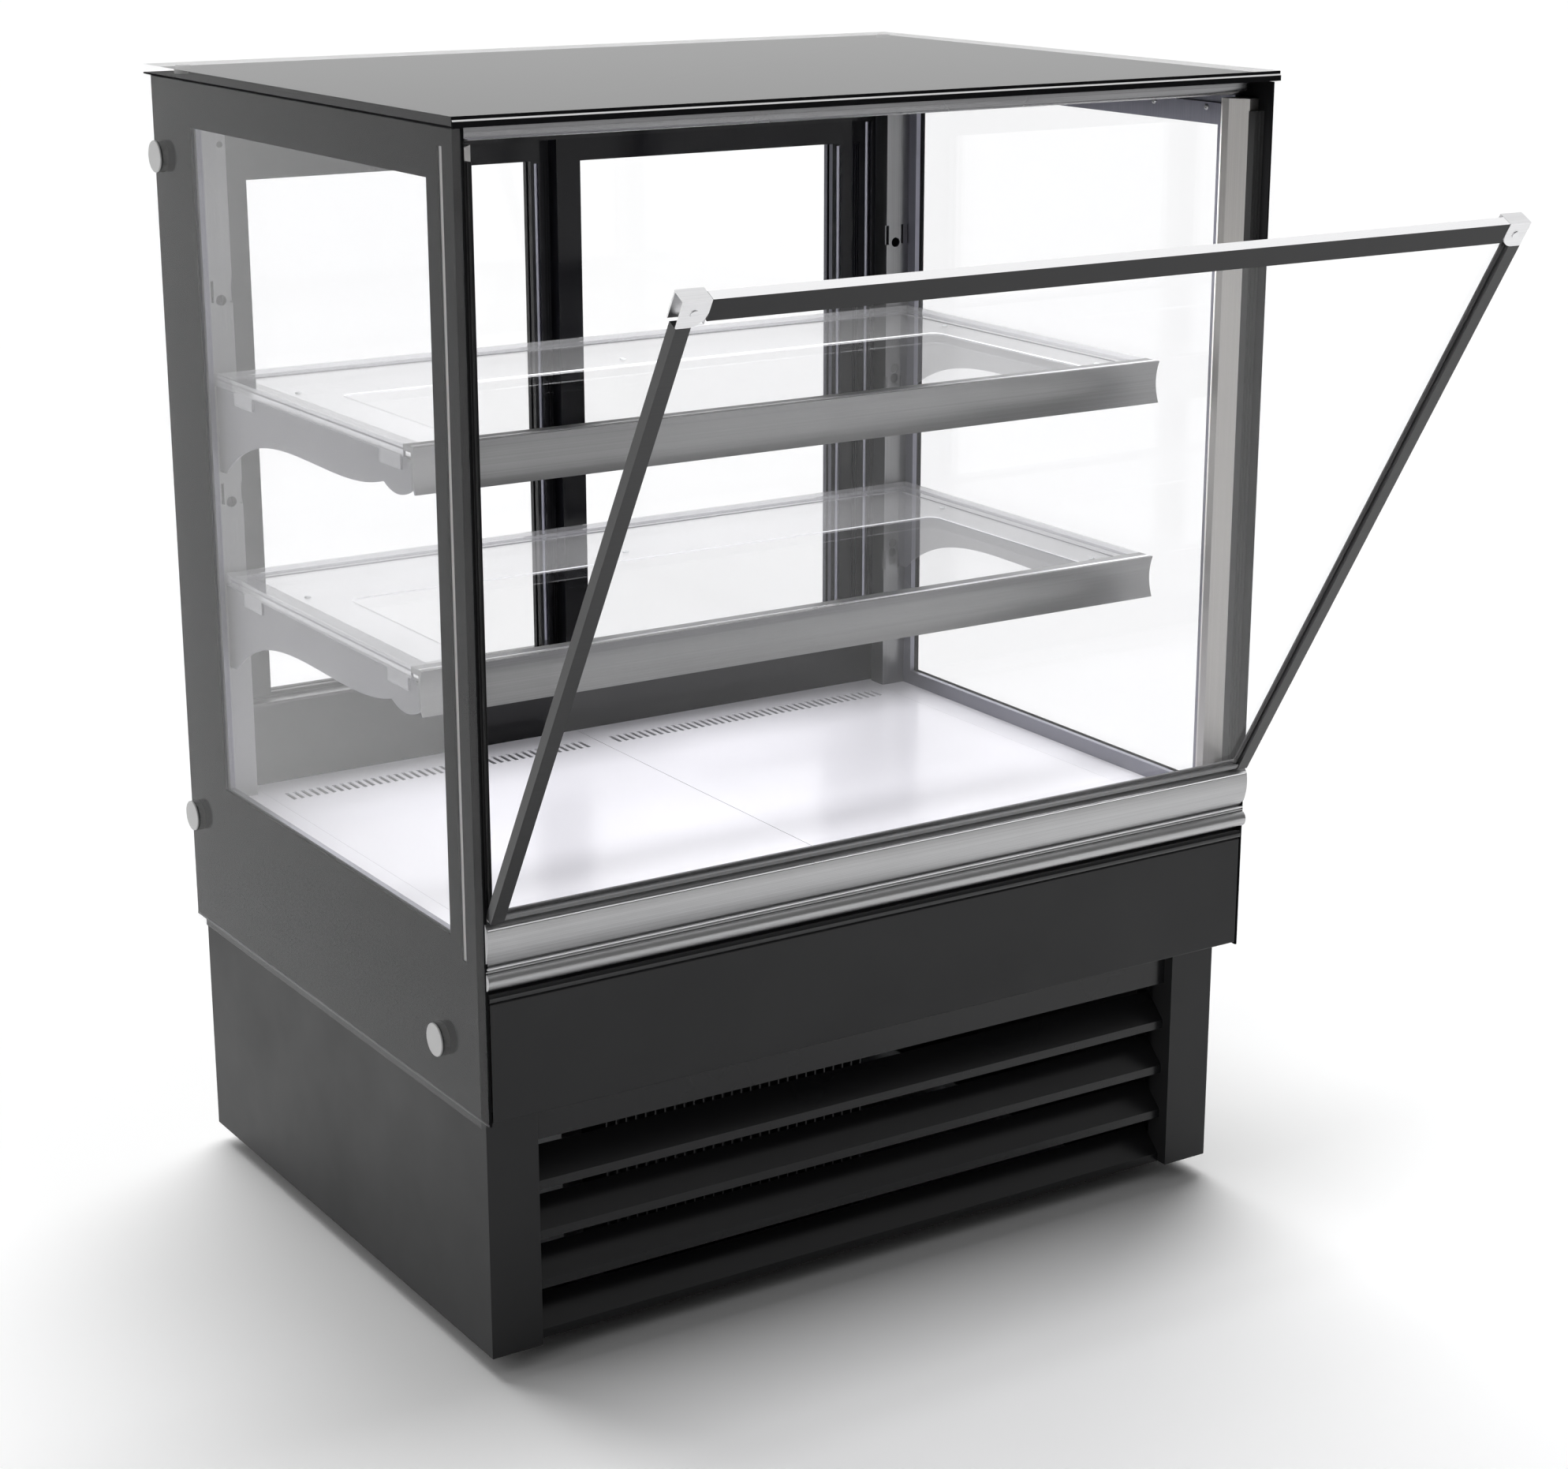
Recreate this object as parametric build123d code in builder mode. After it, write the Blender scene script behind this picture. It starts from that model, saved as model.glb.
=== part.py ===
from build123d import *

import os
from math import cos, radians, sin

# Refrigerated counter display case: a black plinth with a louvred front holds the cooling unit, an
# insulated tank above it holds the coil and its fans, and a glass case with two shelves stands on
# top. The front glass tilts forward on two pins, and two doors slide at the back.
# The frame has +Z up, the customer's side towards -Y and X across. The origin lies on the floor,
# under the middle of the box that the case and its open front door fill.
# In the sizes, a depth is measured back from the front edge of the top, and a height is measured
# up from the underside of the plinth.

# Overall sizes, in millimetres
case_width = 900.0
case_depth = 684.0
foot_height = 20.0
plinth_height = 248.5
tank_height = 147.0
display_height = 747.0
clearance = 0.3

# Side walls: clear pane outside, black steel skin inside it
cover_glass = 8.0
skin = 2.0
pane_top_gap = 0.8
pane_front_gap = 2.0
window_front = 68.0
window_rear_margin = 96.0
window_sill = 16.0
window_head = 46.5
slit_front = 37.0
slit_width = 9.0
slit_top_gap = 18.0

# Fixings that hold the side panes: a black bush through the glass and a light cap outside
bush_radius = 16.0
bush_hole_gap = 0.3
cap_thickness = 1.7
rear_fixing_inset = 20.5
rear_top_fixing_drop = 80.5
rear_low_fixing_rise = 117.5
front_fixing_depth = 91.0
front_fixing_rise = 56.5

# Top: a clear glass plate on a thin dark sheet, which is folded up in front of it
top_sheet_thickness = 1.5
top_glass_thickness = 8.0
top_bush_radius = 7.5
top_bush_inset = 27.0
top_bush_rear_inset = 37.5
nosing_sheet = 2.0
nosing_step = 1.2
nosing_step_height = 3.7
nosing_bevel = 1.4

# Plinth and its front louvre
plinth_inset = 17.5
plinth_front = 27.8
plinth_sheet = 2.0
plinth_post = 53.8
plinth_post_return = 30.0
plinth_floor_front = 82.0
louvre_front = 40.0
louvre_sheet = 1.5
louvre_slats = 4
louvre_pitch = 51.3
louvre_lip = 9.0
louvre_slope = 24.0

# Levelling feet
foot_pad_radius = 20.0
foot_pad_height = 8.0
foot_stem_radius = 6.0
foot_side_inset = 65.0
foot_front_depth = 110.0
foot_rear_inset = 64.0

# Rear grille of the plinth
grille_opening_side = 45.0
grille_opening_rise = 26.0
grille_lap = 10.0
grille_sheet = 1.5
grille_end_margin = 38.5
grille_slot_gap = 28.0
grille_slot_height = 7.0
grille_columns = 6
grille_rows = 8
grille_row_pitch = 19.0

# Insulated tank under the deck
tank_front = 22.0
tank_rear_margin = 34.0
tank_wall = 30.0
tank_floor = 32.0

# Black front panel under the sill
fascia_lift = 2.5
fascia_height = 116.0
fascia_sheet = 1.5
fascia_side_gap = 1.2
trim_height = 12.6
trim_foot = 1.0
trim_bulge = 1.2
trim_bulge_rise = 4.4
trim_shoulder = 1.5
trim_step = 6.0
trim_step_height = 3.5

# Front sill
sill_height = 65.0
sill_rear = 0.3
sill_lip = 4.2
sill_lip_drop = 6.6
sill_lip_round = 3.0
sill_face = 5.2
sill_face_drop = 20.0
sill_neck = 1.2
sill_neck_drop = 41.0
sill_groove = 2.0
sill_groove_drop = 43.5
sill_bead_foot = 1.0
sill_bead_start = 45.5
sill_bead = 0.6
sill_bead_drop = 46.8
sill_bead_end = 48.2
sill_band = 5.6
sill_band_drop = 56.6
sill_foot = 1.5
channel_wall = 2.0
channel_floor_drop = 20.0

# Deck
deck_thickness = 2.0
deck_seam = 0.8
deck_side_strip = 47.1
deck_pan_front = 112.0
deck_rear_margin = 52.0
deck_ledge = 12.0
deck_slots = 40
deck_slot_first = 20.0
deck_slot_end_gap = 19.65
deck_slot_width = 4.2
deck_slot_length = 25.0
deck_slot_rear_gap = 41.5

# Return-air grille between the sill and the deck pans
air_grille_front = 52.5
air_grille_slots = 24
air_grille_end_margin = 23.8
air_grille_slot_length = 24.0
air_grille_slot_width = 6.0
air_grille_row_pitch = 18.0

# Glazing frames and window panes inside the side walls
frame_ring = 10.0
frame_front_stile = 20.0
frame_rear_stile = 14.0
frame_head = 21.0
window_glass = 4.0
window_lap = 9.0
frame_top_rail_gap = 4.0

# Corner lighting and door gasket
light_front = 19.9
light_depth = 27.5
light_outer_face = 11.0
light_inner_reach = 24.0
light_chamfer = 16.0
light_top_gap = 18.0
diffuser = 2.0
lens_margin = 1.0
gasket_width = 12.0
gasket_front = 10.6
gasket_top_gap = 29.5
gasket_rib = 1.6

# Cornice under the front of the top
cornice_front = 24.0
cornice_depth = 22.0
cornice_height = 14.0
cornice_radius = 8.0

# Rear wall and its sliding doors
rear_wall_thickness = 46.5
rear_wall_height = 86.0
track_height = 3.5
track_rib = 5.5
track_rear_margin = 46.0
rear_door_thickness = 17.5
track_spacing = 19.0
jamb_width = 40.0
header_bottom_drop = 84.5
rear_stile_front_inner = 29.0
rear_stile_front_outer = 50.6
rear_stile_back_inner = 37.4
rear_stile_back_outer = 43.5
rear_stile_grooves = 3
rear_stile_groove = 1.2
rear_stile_groove_pitch = 3.0
rear_stile_groove_edge = 22.0
rear_rail_bottom = 7.0
rear_rail_top = 24.5
rear_glass = 4.0
rear_glass_lap = 6.0
rear_glass_foot = 2.5
rear_meeting_line = 1.0
rear_door_overlap = 16.0
pull_width = 14.0
pull_depth = 5.5
pull_height = 420.0
pull_inset = 6.0

# Uprights with bracket slots
upright_width = 39.7
upright_return = 24.0
upright_sheet = 2.0
upright_top_gap = 15.0
upright_hole_radius = 5.5
upright_hole_inset = 12.5
upright_hole_rise = 27.0
spare_hole_rise = 84.5
spare_slot_rise = 104.0
fold_slot_reach = 3.2
top_hole_radius = 3.2
top_hole_inset = 6.0
top_hole_drop = 51.0
hook_slot_width = 2.8
hook_slot_height = 22.0
hook_slot_spacing = 8.4

# Shelf brackets and shelves
bracket_inset = 18.1
bracket_thickness = 2.0
hook_depth = 5.0
hook_height = 20.0
hook_drop = 4.0
lower_shelf_level = 630.5
shelf_pitch = 207.0
shelf_levels = 2
bracket_front = 156.0
bracket_heel = 89.5
bracket_nose = 30.0
bracket_heel_flat = 15.0
bracket_curve_depth = 49.0
bracket_curve_rise = 22.5
bracket_arch_share = 0.4776
bracket_arch_drop = 42.0
bracket_waist_share = 0.1323
bracket_waist_drop = 31.4
bracket_belly_share = 0.065
bracket_belly_drop = 38.5
shelf_front = 141.0
shelf_rear_gap = 4.0
shelf_side_gap = 13.2
shelf_glass = 6.0
rail_height = 43.5
rail_rise = 12.0
rail_hollow = 5.0
rail_wall = 2.5
rail_grip = 17.0
rim_wall = 2.5
rim_base = 2.0
rim_strip = 24.0
tab_length = 44.0
tab_height = 19.0
tab_rear_inset = 94.0
tab_front_inset = 7.1

# Front door, drawn in its open place
door_tilt = 30.0
hinge_depth = 8.25
hinge_drop = 9.0
door_foot = 15.7
door_top_gap = 0.8
door_back = -2.0
door_face = 8.5
door_side_gap = 0.6
door_bar = 13.4
door_bar_groove = 4.2
door_glass = 6.0
door_groove_gap = 0.2
door_rail_top = 20.5
door_grip = 4.0
bottom_rail_lift = 1.8
bottom_rail_height = 4.6
bottom_rail_wall = 1.7
bottom_rail_grip = 3.2
corner_width = 25.5
corner_height = 25.3
corner_back = -7.0
corner_sheet = 1.5
corner_radius = 15.0
corner_screw_radius = 3.6
corner_screw_head = 0.8
shoe_thickness = 7.0
shoe_half = 2.0
knuckle_radius = 6.0
hinge_pin_radius = 4.0
hinge_running_gap = 0.05
hinge_block_height = 17.0
hinge_block_depth = 12.0

# Cooling coil and its two fans in the tank
coil_front = 400.0
drain_to_coil = 44.0
coil_side_gap = 89.7
coil_height = 72.0
coil_fins = 26
coil_fin_thickness = 1.6
coil_core = 40.0
fan_plate_depth = 330.0
fan_plate_sheet = 2.0
fan_plate_fold = 15.0
evaporator_fan_offset = 175.0
evaporator_fan_radius = 42.0
fan_ring_gap = 3.0
fan_blades = 5
fan_hub_height = 16.0
fan_hub_share = 0.3
blade_width_share = 0.6
fan_gap = 3.0
blade_thickness = 1.8
blade_pitch = 28.0
arm_margin = 9.0
arm_width = 8.0
motor_length = 32.0
motor_cap_share = 0.6
evaporator_motor_radius = 16.0
shaft_radius = 3.0
shaft_gap = 0.05

# Condensing unit in the plinth
unit_side_gap = 132.5
unit_front = 100.0
unit_rear_margin = 124.0
unit_sheet = 2.0
unit_lip = 12.0
compressor_x = 130.0
compressor_depth = 400.0
compressor_radius = 68.0
compressor_height = 165.0
compressor_foot = 12.0
pot_bevel = 14.0
pot_crown = 30.0
foot_plate_thickness = 3.0
foot_plate_length = 156.0
foot_plate_width = 116.0
buffer_radius = 8.4
buffer_pitch_x = 130.0
buffer_pitch_y = 88.0
condenser_x = -110.0
condenser_half_width = 150.0
condenser_front = 112.0
condenser_depth = 50.0
condenser_height = 205.0
condenser_fins = 28
shroud_depth = 42.0
shroud_sheet = 1.5
shroud_arm = 3.0
condenser_fan_radius = 92.0
condenser_motor_radius = 30.0
pipe_radius = 4.0
pipe_sides = 8
drain_radius = 8.0
drain_wall = 1.5
drain_inset = 26.0
drain_end = 34.0
drain_flange = 4.0
tray_half_width = 110.0
tray_rear_margin = 109.0
tray_depth = 80.0
tray_height = 45.0
tray_wall = 2.5

# Controller and switches in the rear wall, and the mains inlet in the rear grille
controller_x = -250.0
controller_width = 78.0
controller_height = 36.0
controller_body = 24.0
bezel_lip = 3.0
bezel_thickness = 3.0
keys = 2
key_first = 8.0
key_pitch = 18.0
key_drop = 6.0
key_width = 12.0
key_height = 7.0
key_stem = 5.0
key_travel = 1.2
key_proud = 1.5
switch_x = -170.0
switch_pitch = 34.0
switch_width = 21.0
switch_height = 24.0
switch_wall = 3.0
switch_gap = 1.2
rocker_half = 9.0
rocker_depth = 4.5
rocker_dish = 1.2
rocker_edge = 1.0
rocker_well = 12.0
rocker_tilt = 7.0
pivot_radius = 1.2
pivot_length = 1.5
inlet_inset = 45.5
inlet_slot_gap = 67.0
inlet_width = 27.0
inlet_height = 20.0

# Levels and places that follow from the sizes above
half_width = case_width / 2
skin_outer = half_width - cover_glass
skin_inner = skin_outer - skin
inside = skin_inner - clearance
plinth_half = half_width - plinth_inset
upright_inner = inside - upright_width
bracket_plane = inside - bracket_inset
shelf_half_width = inside - shelf_side_gap
deck_margin_seam = inside - deck_side_strip
deck_rear = case_depth - deck_rear_margin
tank_rear = case_depth - tank_rear_margin
drain_depth = tank_rear - tank_wall - drain_inset
tank_rim = plinth_height + tank_height
deck_level = tank_rim + deck_thickness
top_under = tank_rim + display_height
top_level = top_under + top_sheet_thickness + top_glass_thickness
fascia_bottom = plinth_height + fascia_lift
fascia_top = fascia_bottom + fascia_height
sill_bottom = fascia_top + trim_height + clearance
sill_top = sill_bottom + sill_height
hinge_level = sill_top - hinge_drop
window_bottom = deck_level + window_sill
window_top = top_under - window_head
window_rear = case_depth - window_rear_margin
upright_front = window_rear + frame_rear_stile
rear_wall_front = deck_rear + clearance
rear_wall_top = deck_level + rear_wall_height
header_bottom = top_under - header_bottom_drop
door_height = top_under - door_top_gap - hinge_level - door_foot
door_length = door_foot + door_height
door_reach = door_length * sin(radians(door_tilt)) + door_face * cos(radians(door_tilt)) - hinge_depth
front_edge = (door_reach - case_depth) / 2

sides = {"left": -1, "right": 1}
levels = [lower_shelf_level + shelf_pitch * index for index in range(shelf_levels)]


def y(depth):
    """The Y of a point that lies this far behind the front edge of the top."""
    return front_edge + depth


def z(height):
    """The Z of a point this high above the underside of the plinth."""
    return foot_height + height


def block(x_range, depths, heights, mode=Mode.ADD):
    """Extrude an upright block between two widths, two depths and two heights."""
    with BuildSketch(Plane.XY.offset(z(heights[0]))) as outline:
        with Locations(((x_range[0] + x_range[1]) / 2, y((depths[0] + depths[1]) / 2))):
            Rectangle(abs(x_range[1] - x_range[0]), depths[1] - depths[0])
    extrude(outline.sketch, amount=heights[1] - heights[0], mode=mode)


def section(points, x_range, mode=Mode.ADD):
    """Extrude a closed outline of (depth, height) points along the width of the case."""
    low = min(x_range)
    with BuildSketch(Plane.YZ.offset(low)) as outline:
        with BuildLine():
            Polyline(*[(y(depth), z(height)) for depth, height in points], close=True)
        make_face()
    extrude(outline.sketch, amount=max(x_range) - low, mode=mode)


def span(side, inner, outer):
    """The two X values of something that lies between two distances from the middle."""
    return tuple(sorted((side * inner, side * outer)))


def save(piece, name):
    """Label a finished piece and write its file."""
    piece.part.label = name
    export_step(piece.part, f"parts/{name}.step")


os.makedirs("parts", exist_ok=True)

# Plinth: a folded steel box, open at the front for the louvre and at the back for the grille
post_inner = plinth_half - plinth_post
with BuildPart() as plinth:
    block((-plinth_half, plinth_half), (plinth_front, case_depth), (0, plinth_height))
    block(
        (plinth_sheet - plinth_half, plinth_half - plinth_sheet),
        (plinth_front + plinth_sheet, case_depth - plinth_sheet),
        (plinth_sheet, plinth_height - plinth_sheet),
        mode=Mode.SUBTRACT,
    )
    block(
        (-post_inner, post_inner),
        (plinth_front, plinth_floor_front),
        (0, plinth_height),
        mode=Mode.SUBTRACT,
    )
    for side in sides.values():
        block(
            span(side, post_inner, post_inner + plinth_sheet),
            (plinth_front, plinth_front + plinth_post_return),
            (0, plinth_height),
        )
    block(
        (grille_opening_side - plinth_half, plinth_half - grille_opening_side),
        (case_depth - plinth_sheet, case_depth),
        (grille_opening_rise, plinth_height - grille_opening_rise),
        mode=Mode.SUBTRACT,
    )
    with BuildSketch(Plane.XY.offset(z(plinth_height - plinth_sheet))) as drain_hole:
        with Locations((0, y(drain_depth))):
            Circle(drain_radius + clearance)
    extrude(drain_hole.sketch, amount=plinth_sheet, mode=Mode.SUBTRACT)
save(plinth, "plinth")

# Levelling feet, set under the plinth's corners
with BuildPart() as levelling_feet:
    foot_span = case_depth - foot_rear_inset - foot_front_depth
    foot_middle = foot_front_depth + foot_span / 2
    foot_x = 2 * (plinth_half - foot_side_inset)
    with BuildSketch(Plane.XY) as pads:
        with Locations((0, y(foot_middle))):
            with GridLocations(foot_x, foot_span, 2, 2):
                Circle(foot_pad_radius)
    extrude(pads.sketch, amount=foot_pad_height, taper=12)
    with BuildSketch(Plane.XY.offset(foot_pad_height)) as stems:
        with Locations((0, y(foot_middle))):
            with GridLocations(foot_x, foot_span, 2, 2):
                RegularPolygon(foot_stem_radius, 6)
    extrude(stems.sketch, amount=foot_height - foot_pad_height)
save(levelling_feet, "levelling_feet")

# Louvre: a flat top strip and sloping slats between two end cheeks
louvre_half = post_inner - clearance
louvre_top = plinth_height - clearance
slat_bottoms = [louvre_pitch * index for index in range(louvre_slats)]
strip_bottom = louvre_pitch * louvre_slats
lip_back = louvre_front + louvre_sheet
slope_end = lip_back + louvre_slope


def slat_points(bottom):
    """The folded section of one slat: an upright lip and a leaf that rises to the back."""
    return [
        (louvre_front, bottom),
        (lip_back, bottom),
        (lip_back, bottom + louvre_lip - louvre_sheet / 2),
        (slope_end + louvre_sheet, bottom + louvre_lip + louvre_slope - louvre_sheet / 2),
        (slope_end, bottom + louvre_lip + louvre_slope + louvre_sheet / 2),
        (louvre_front, bottom + louvre_lip),
    ]


with BuildPart() as louvre_panel:
    block((-louvre_half, louvre_half), (louvre_front, lip_back), (strip_bottom, louvre_top))
    for bottom in slat_bottoms:
        section(slat_points(bottom), (-louvre_half, louvre_half))
    for side in sides.values():
        ends = span(side, louvre_half - louvre_sheet, louvre_half)
        block(ends, (slope_end, plinth_floor_front - clearance), (0, louvre_top))
        block(ends, (louvre_front, slope_end), (strip_bottom, louvre_top))
        for bottom in slat_bottoms:
            gusset_top = bottom + louvre_lip + louvre_slope
            gusset = [
                (louvre_front, bottom),
                (louvre_front, bottom + louvre_lip),
                (slope_end, gusset_top),
                (slope_end + louvre_sheet, gusset_top),
                (slope_end + louvre_sheet, bottom + louvre_lip),
            ]
            section(gusset, ends)
save(louvre_panel, "louvre_panel")

# Rear grille: a slotted sheet behind the opening of the plinth's back wall
grille_half = plinth_half - grille_opening_side + grille_lap
grille_bottom = grille_opening_rise - grille_lap
grille_top = plinth_height - grille_opening_rise + grille_lap
grille_back = case_depth - plinth_sheet
inlet_level = (grille_bottom + grille_top) / 2
inlet_x = grille_half - inlet_inset
slots_left = grille_end_margin - grille_half
slots_right = inlet_x - inlet_slot_gap
slot_column_pitch = (slots_right - slots_left + grille_slot_gap) / grille_columns
with BuildPart() as rear_grille:
    block((-grille_half, grille_half), (grille_back - grille_sheet, grille_back), (grille_bottom, grille_top))
    with BuildSketch(Plane.XZ.offset(-y(grille_back))) as slots:
        with Locations(((slots_left + slots_right) / 2, z(inlet_level))):
            with GridLocations(slot_column_pitch, grille_row_pitch, grille_columns, grille_rows):
                Rectangle(slot_column_pitch - grille_slot_gap, grille_slot_height)
        with Locations((inlet_x, z(inlet_level))):
            Rectangle(inlet_width, inlet_height)
    extrude(slots.sketch, amount=grille_sheet, mode=Mode.SUBTRACT)
save(rear_grille, "rear_grille")

# Mains inlet in the grille
inlet_face = grille_back + bezel_thickness / 2
with BuildPart() as mains_inlet:
    block(
        (inlet_x - inlet_width / 2 + clearance, inlet_x + inlet_width / 2 - clearance),
        (grille_back - controller_body, inlet_face),
        (inlet_level - inlet_height / 2 + clearance, inlet_level + inlet_height / 2 - clearance),
    )
    block(
        (inlet_x - inlet_width / 2 - bezel_lip, inlet_x + inlet_width / 2 + bezel_lip),
        (grille_back, inlet_face),
        (inlet_level - inlet_height / 2 - bezel_lip, inlet_level + inlet_height / 2 + bezel_lip),
    )
    with BuildSketch(Plane.XZ.offset(-y(inlet_face))) as socket:
        with Locations((inlet_x, z(inlet_level))):
            Rectangle(inlet_width - 2 * bezel_lip, inlet_height - 2 * bezel_lip)
    extrude(socket.sketch, amount=controller_body / 2, mode=Mode.SUBTRACT)
    with BuildSketch(Plane.XZ.offset(-y(inlet_face - controller_body / 2))) as blades:
        with Locations((inlet_x, z(inlet_level))):
            with GridLocations(bezel_lip * 2, 0, 3, 1):
                Rectangle(plinth_sheet, 2 * plinth_sheet)
    extrude(blades.sketch, amount=-controller_body / 3)
save(mains_inlet, "mains_inlet")

# Insulated tank: an open tub whose rim carries the deck
tank_inner = inside - tank_wall
with BuildPart() as tank:
    block((-inside, inside), (tank_front, tank_rear), (plinth_height, tank_rim))
    block(
        (-tank_inner, tank_inner),
        (tank_front + tank_wall, tank_rear - tank_wall),
        (plinth_height + tank_floor, tank_rim),
        mode=Mode.SUBTRACT,
    )
    fillet(tank.faces().sort_by(Axis.Z)[1].edges().filter_by(Axis.X), radius=tank_wall / 3)
    with BuildSketch(Plane.XY.offset(z(plinth_height))) as drain:
        with Locations((0, y(drain_depth))):
            Circle(drain_radius + clearance)
    extrude(drain.sketch, amount=tank_floor, mode=Mode.SUBTRACT)
save(tank, "tank")

# Black side skins, each with its window and the slit that the corner light shines through
with BuildPart() as side_skins:
    for side in sides.values():
        wall = span(side, skin_inner, skin_outer)
        block(wall, (0, case_depth), (plinth_height, top_under - pane_top_gap))
        block(wall, (window_front, window_rear), (window_bottom, window_top), mode=Mode.SUBTRACT)
        block(
            wall,
            (slit_front, slit_front + slit_width),
            (tank_rim + clearance, top_under - slit_top_gap),
            mode=Mode.SUBTRACT,
        )
save(side_skins, "side_skins")

# Clear panes over the skins, with a bush and a cap at each fixing, and the pads in the top glass
rear_fixing_depth = case_depth - rear_fixing_inset
fixings = [
    (rear_fixing_depth, top_under - rear_top_fixing_drop),
    (rear_fixing_depth, plinth_height + rear_low_fixing_rise),
    (front_fixing_depth, plinth_height + front_fixing_rise),
]


def discs(radius, near, far, mode=Mode.ADD):
    """Round pieces on every fixing of both side walls, between two distances from the middle."""
    for side in sides.values():
        low, high = span(side, near, far)
        with BuildSketch(Plane.YZ.offset(low)) as circles:
            with Locations(*[(y(depth), z(height)) for depth, height in fixings]):
                Circle(radius)
        extrude(circles.sketch, amount=high - low, mode=mode)


with BuildPart() as cover_panes:
    for side in sides.values():
        block(
            span(side, skin_outer, half_width),
            (pane_front_gap, case_depth),
            (plinth_height, top_under - pane_top_gap),
        )
    discs(bush_radius + bush_hole_gap, skin_outer, half_width, mode=Mode.SUBTRACT)
save(cover_panes, "cover_panes")

glass_bottom = top_under + top_sheet_thickness
top_bushes_at = [
    (side * (half_width - top_bush_inset), y(case_depth - top_bush_rear_inset)) for side in sides.values()
]
with BuildPart() as glass_bushes:
    discs(bush_radius, skin_outer, half_width)
save(glass_bushes, "glass_bushes")

with BuildPart() as pane_caps:
    discs(bush_radius, half_width, half_width + cap_thickness)
    chamfer(pane_caps.faces().filter_by(Axis.X).group_by(Axis.X)[-1].edges(), length=cap_thickness / 3)
    chamfer(pane_caps.faces().filter_by(Axis.X).group_by(Axis.X)[0].edges(), length=cap_thickness / 3)
    with BuildSketch(Plane.XY.offset(z(glass_bottom))) as circles:
        with Locations(*top_bushes_at):
            Circle(top_bush_radius)
    extrude(circles.sketch, amount=top_glass_thickness)
save(pane_caps, "pane_caps")

# Top sheet, folded up into a stepped nosing, and the top glass behind the nosing
step_height = glass_bottom + nosing_step_height
with BuildPart() as top_sheet:
    section(
        [
            (0, top_under),
            (0, step_height),
            (nosing_step, step_height + nosing_bevel),
            (nosing_step, top_level),
            (nosing_sheet, top_level),
            (nosing_sheet, glass_bottom),
            (case_depth, glass_bottom),
            (case_depth, top_under),
        ],
        (-half_width, half_width),
    )
save(top_sheet, "top_sheet")

with BuildPart() as top_glass:
    block((-half_width, half_width), (nosing_sheet, case_depth), (glass_bottom, top_level))
    with BuildSketch(Plane.XY.offset(z(glass_bottom))) as holes:
        with Locations(*top_bushes_at):
            Circle(top_bush_radius + bush_hole_gap)
    extrude(holes.sketch, amount=top_glass_thickness, mode=Mode.SUBTRACT)
save(top_glass, "top_glass")

# Black fascia under the sill: a folded panel whose flanges seat on the tank
fascia_half = skin_inner - fascia_side_gap
with BuildPart() as front_fascia:
    block((-fascia_half, fascia_half), (0, tank_front), (fascia_bottom, fascia_top))
    block(
        (-fascia_half, fascia_half),
        (fascia_sheet, tank_front),
        (fascia_bottom + fascia_sheet, fascia_top - fascia_sheet),
        mode=Mode.SUBTRACT,
    )
    fillet(front_fascia.edges().filter_by(Axis.X).group_by(Axis.Y)[0], radius=fascia_sheet)
save(front_fascia, "front_fascia")

# Dark grooved trim between the fascia and the sill
trim_bottom = fascia_top
trim_top = trim_bottom + trim_height
with BuildPart() as sill_trim:
    with BuildSketch(Plane.YZ.offset(-inside)) as outline:
        with BuildLine():
            Polyline(
                (y(trim_foot), z(trim_bottom)),
                (y(tank_front), z(trim_bottom)),
                (y(tank_front), z(trim_top)),
                (y(trim_step), z(trim_top)),
                (y(trim_step), z(trim_top - trim_step_height)),
                (y(trim_shoulder), z(trim_top - trim_step_height)),
            )
            ThreePointArc(
                (y(trim_shoulder), z(trim_top - trim_step_height)),
                (y(-trim_bulge), z(trim_bottom + trim_bulge_rise)),
                (y(trim_foot), z(trim_bottom)),
            )
        make_face()
    extrude(outline.sketch, amount=2 * inside)
save(sill_trim, "sill_trim")

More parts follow.
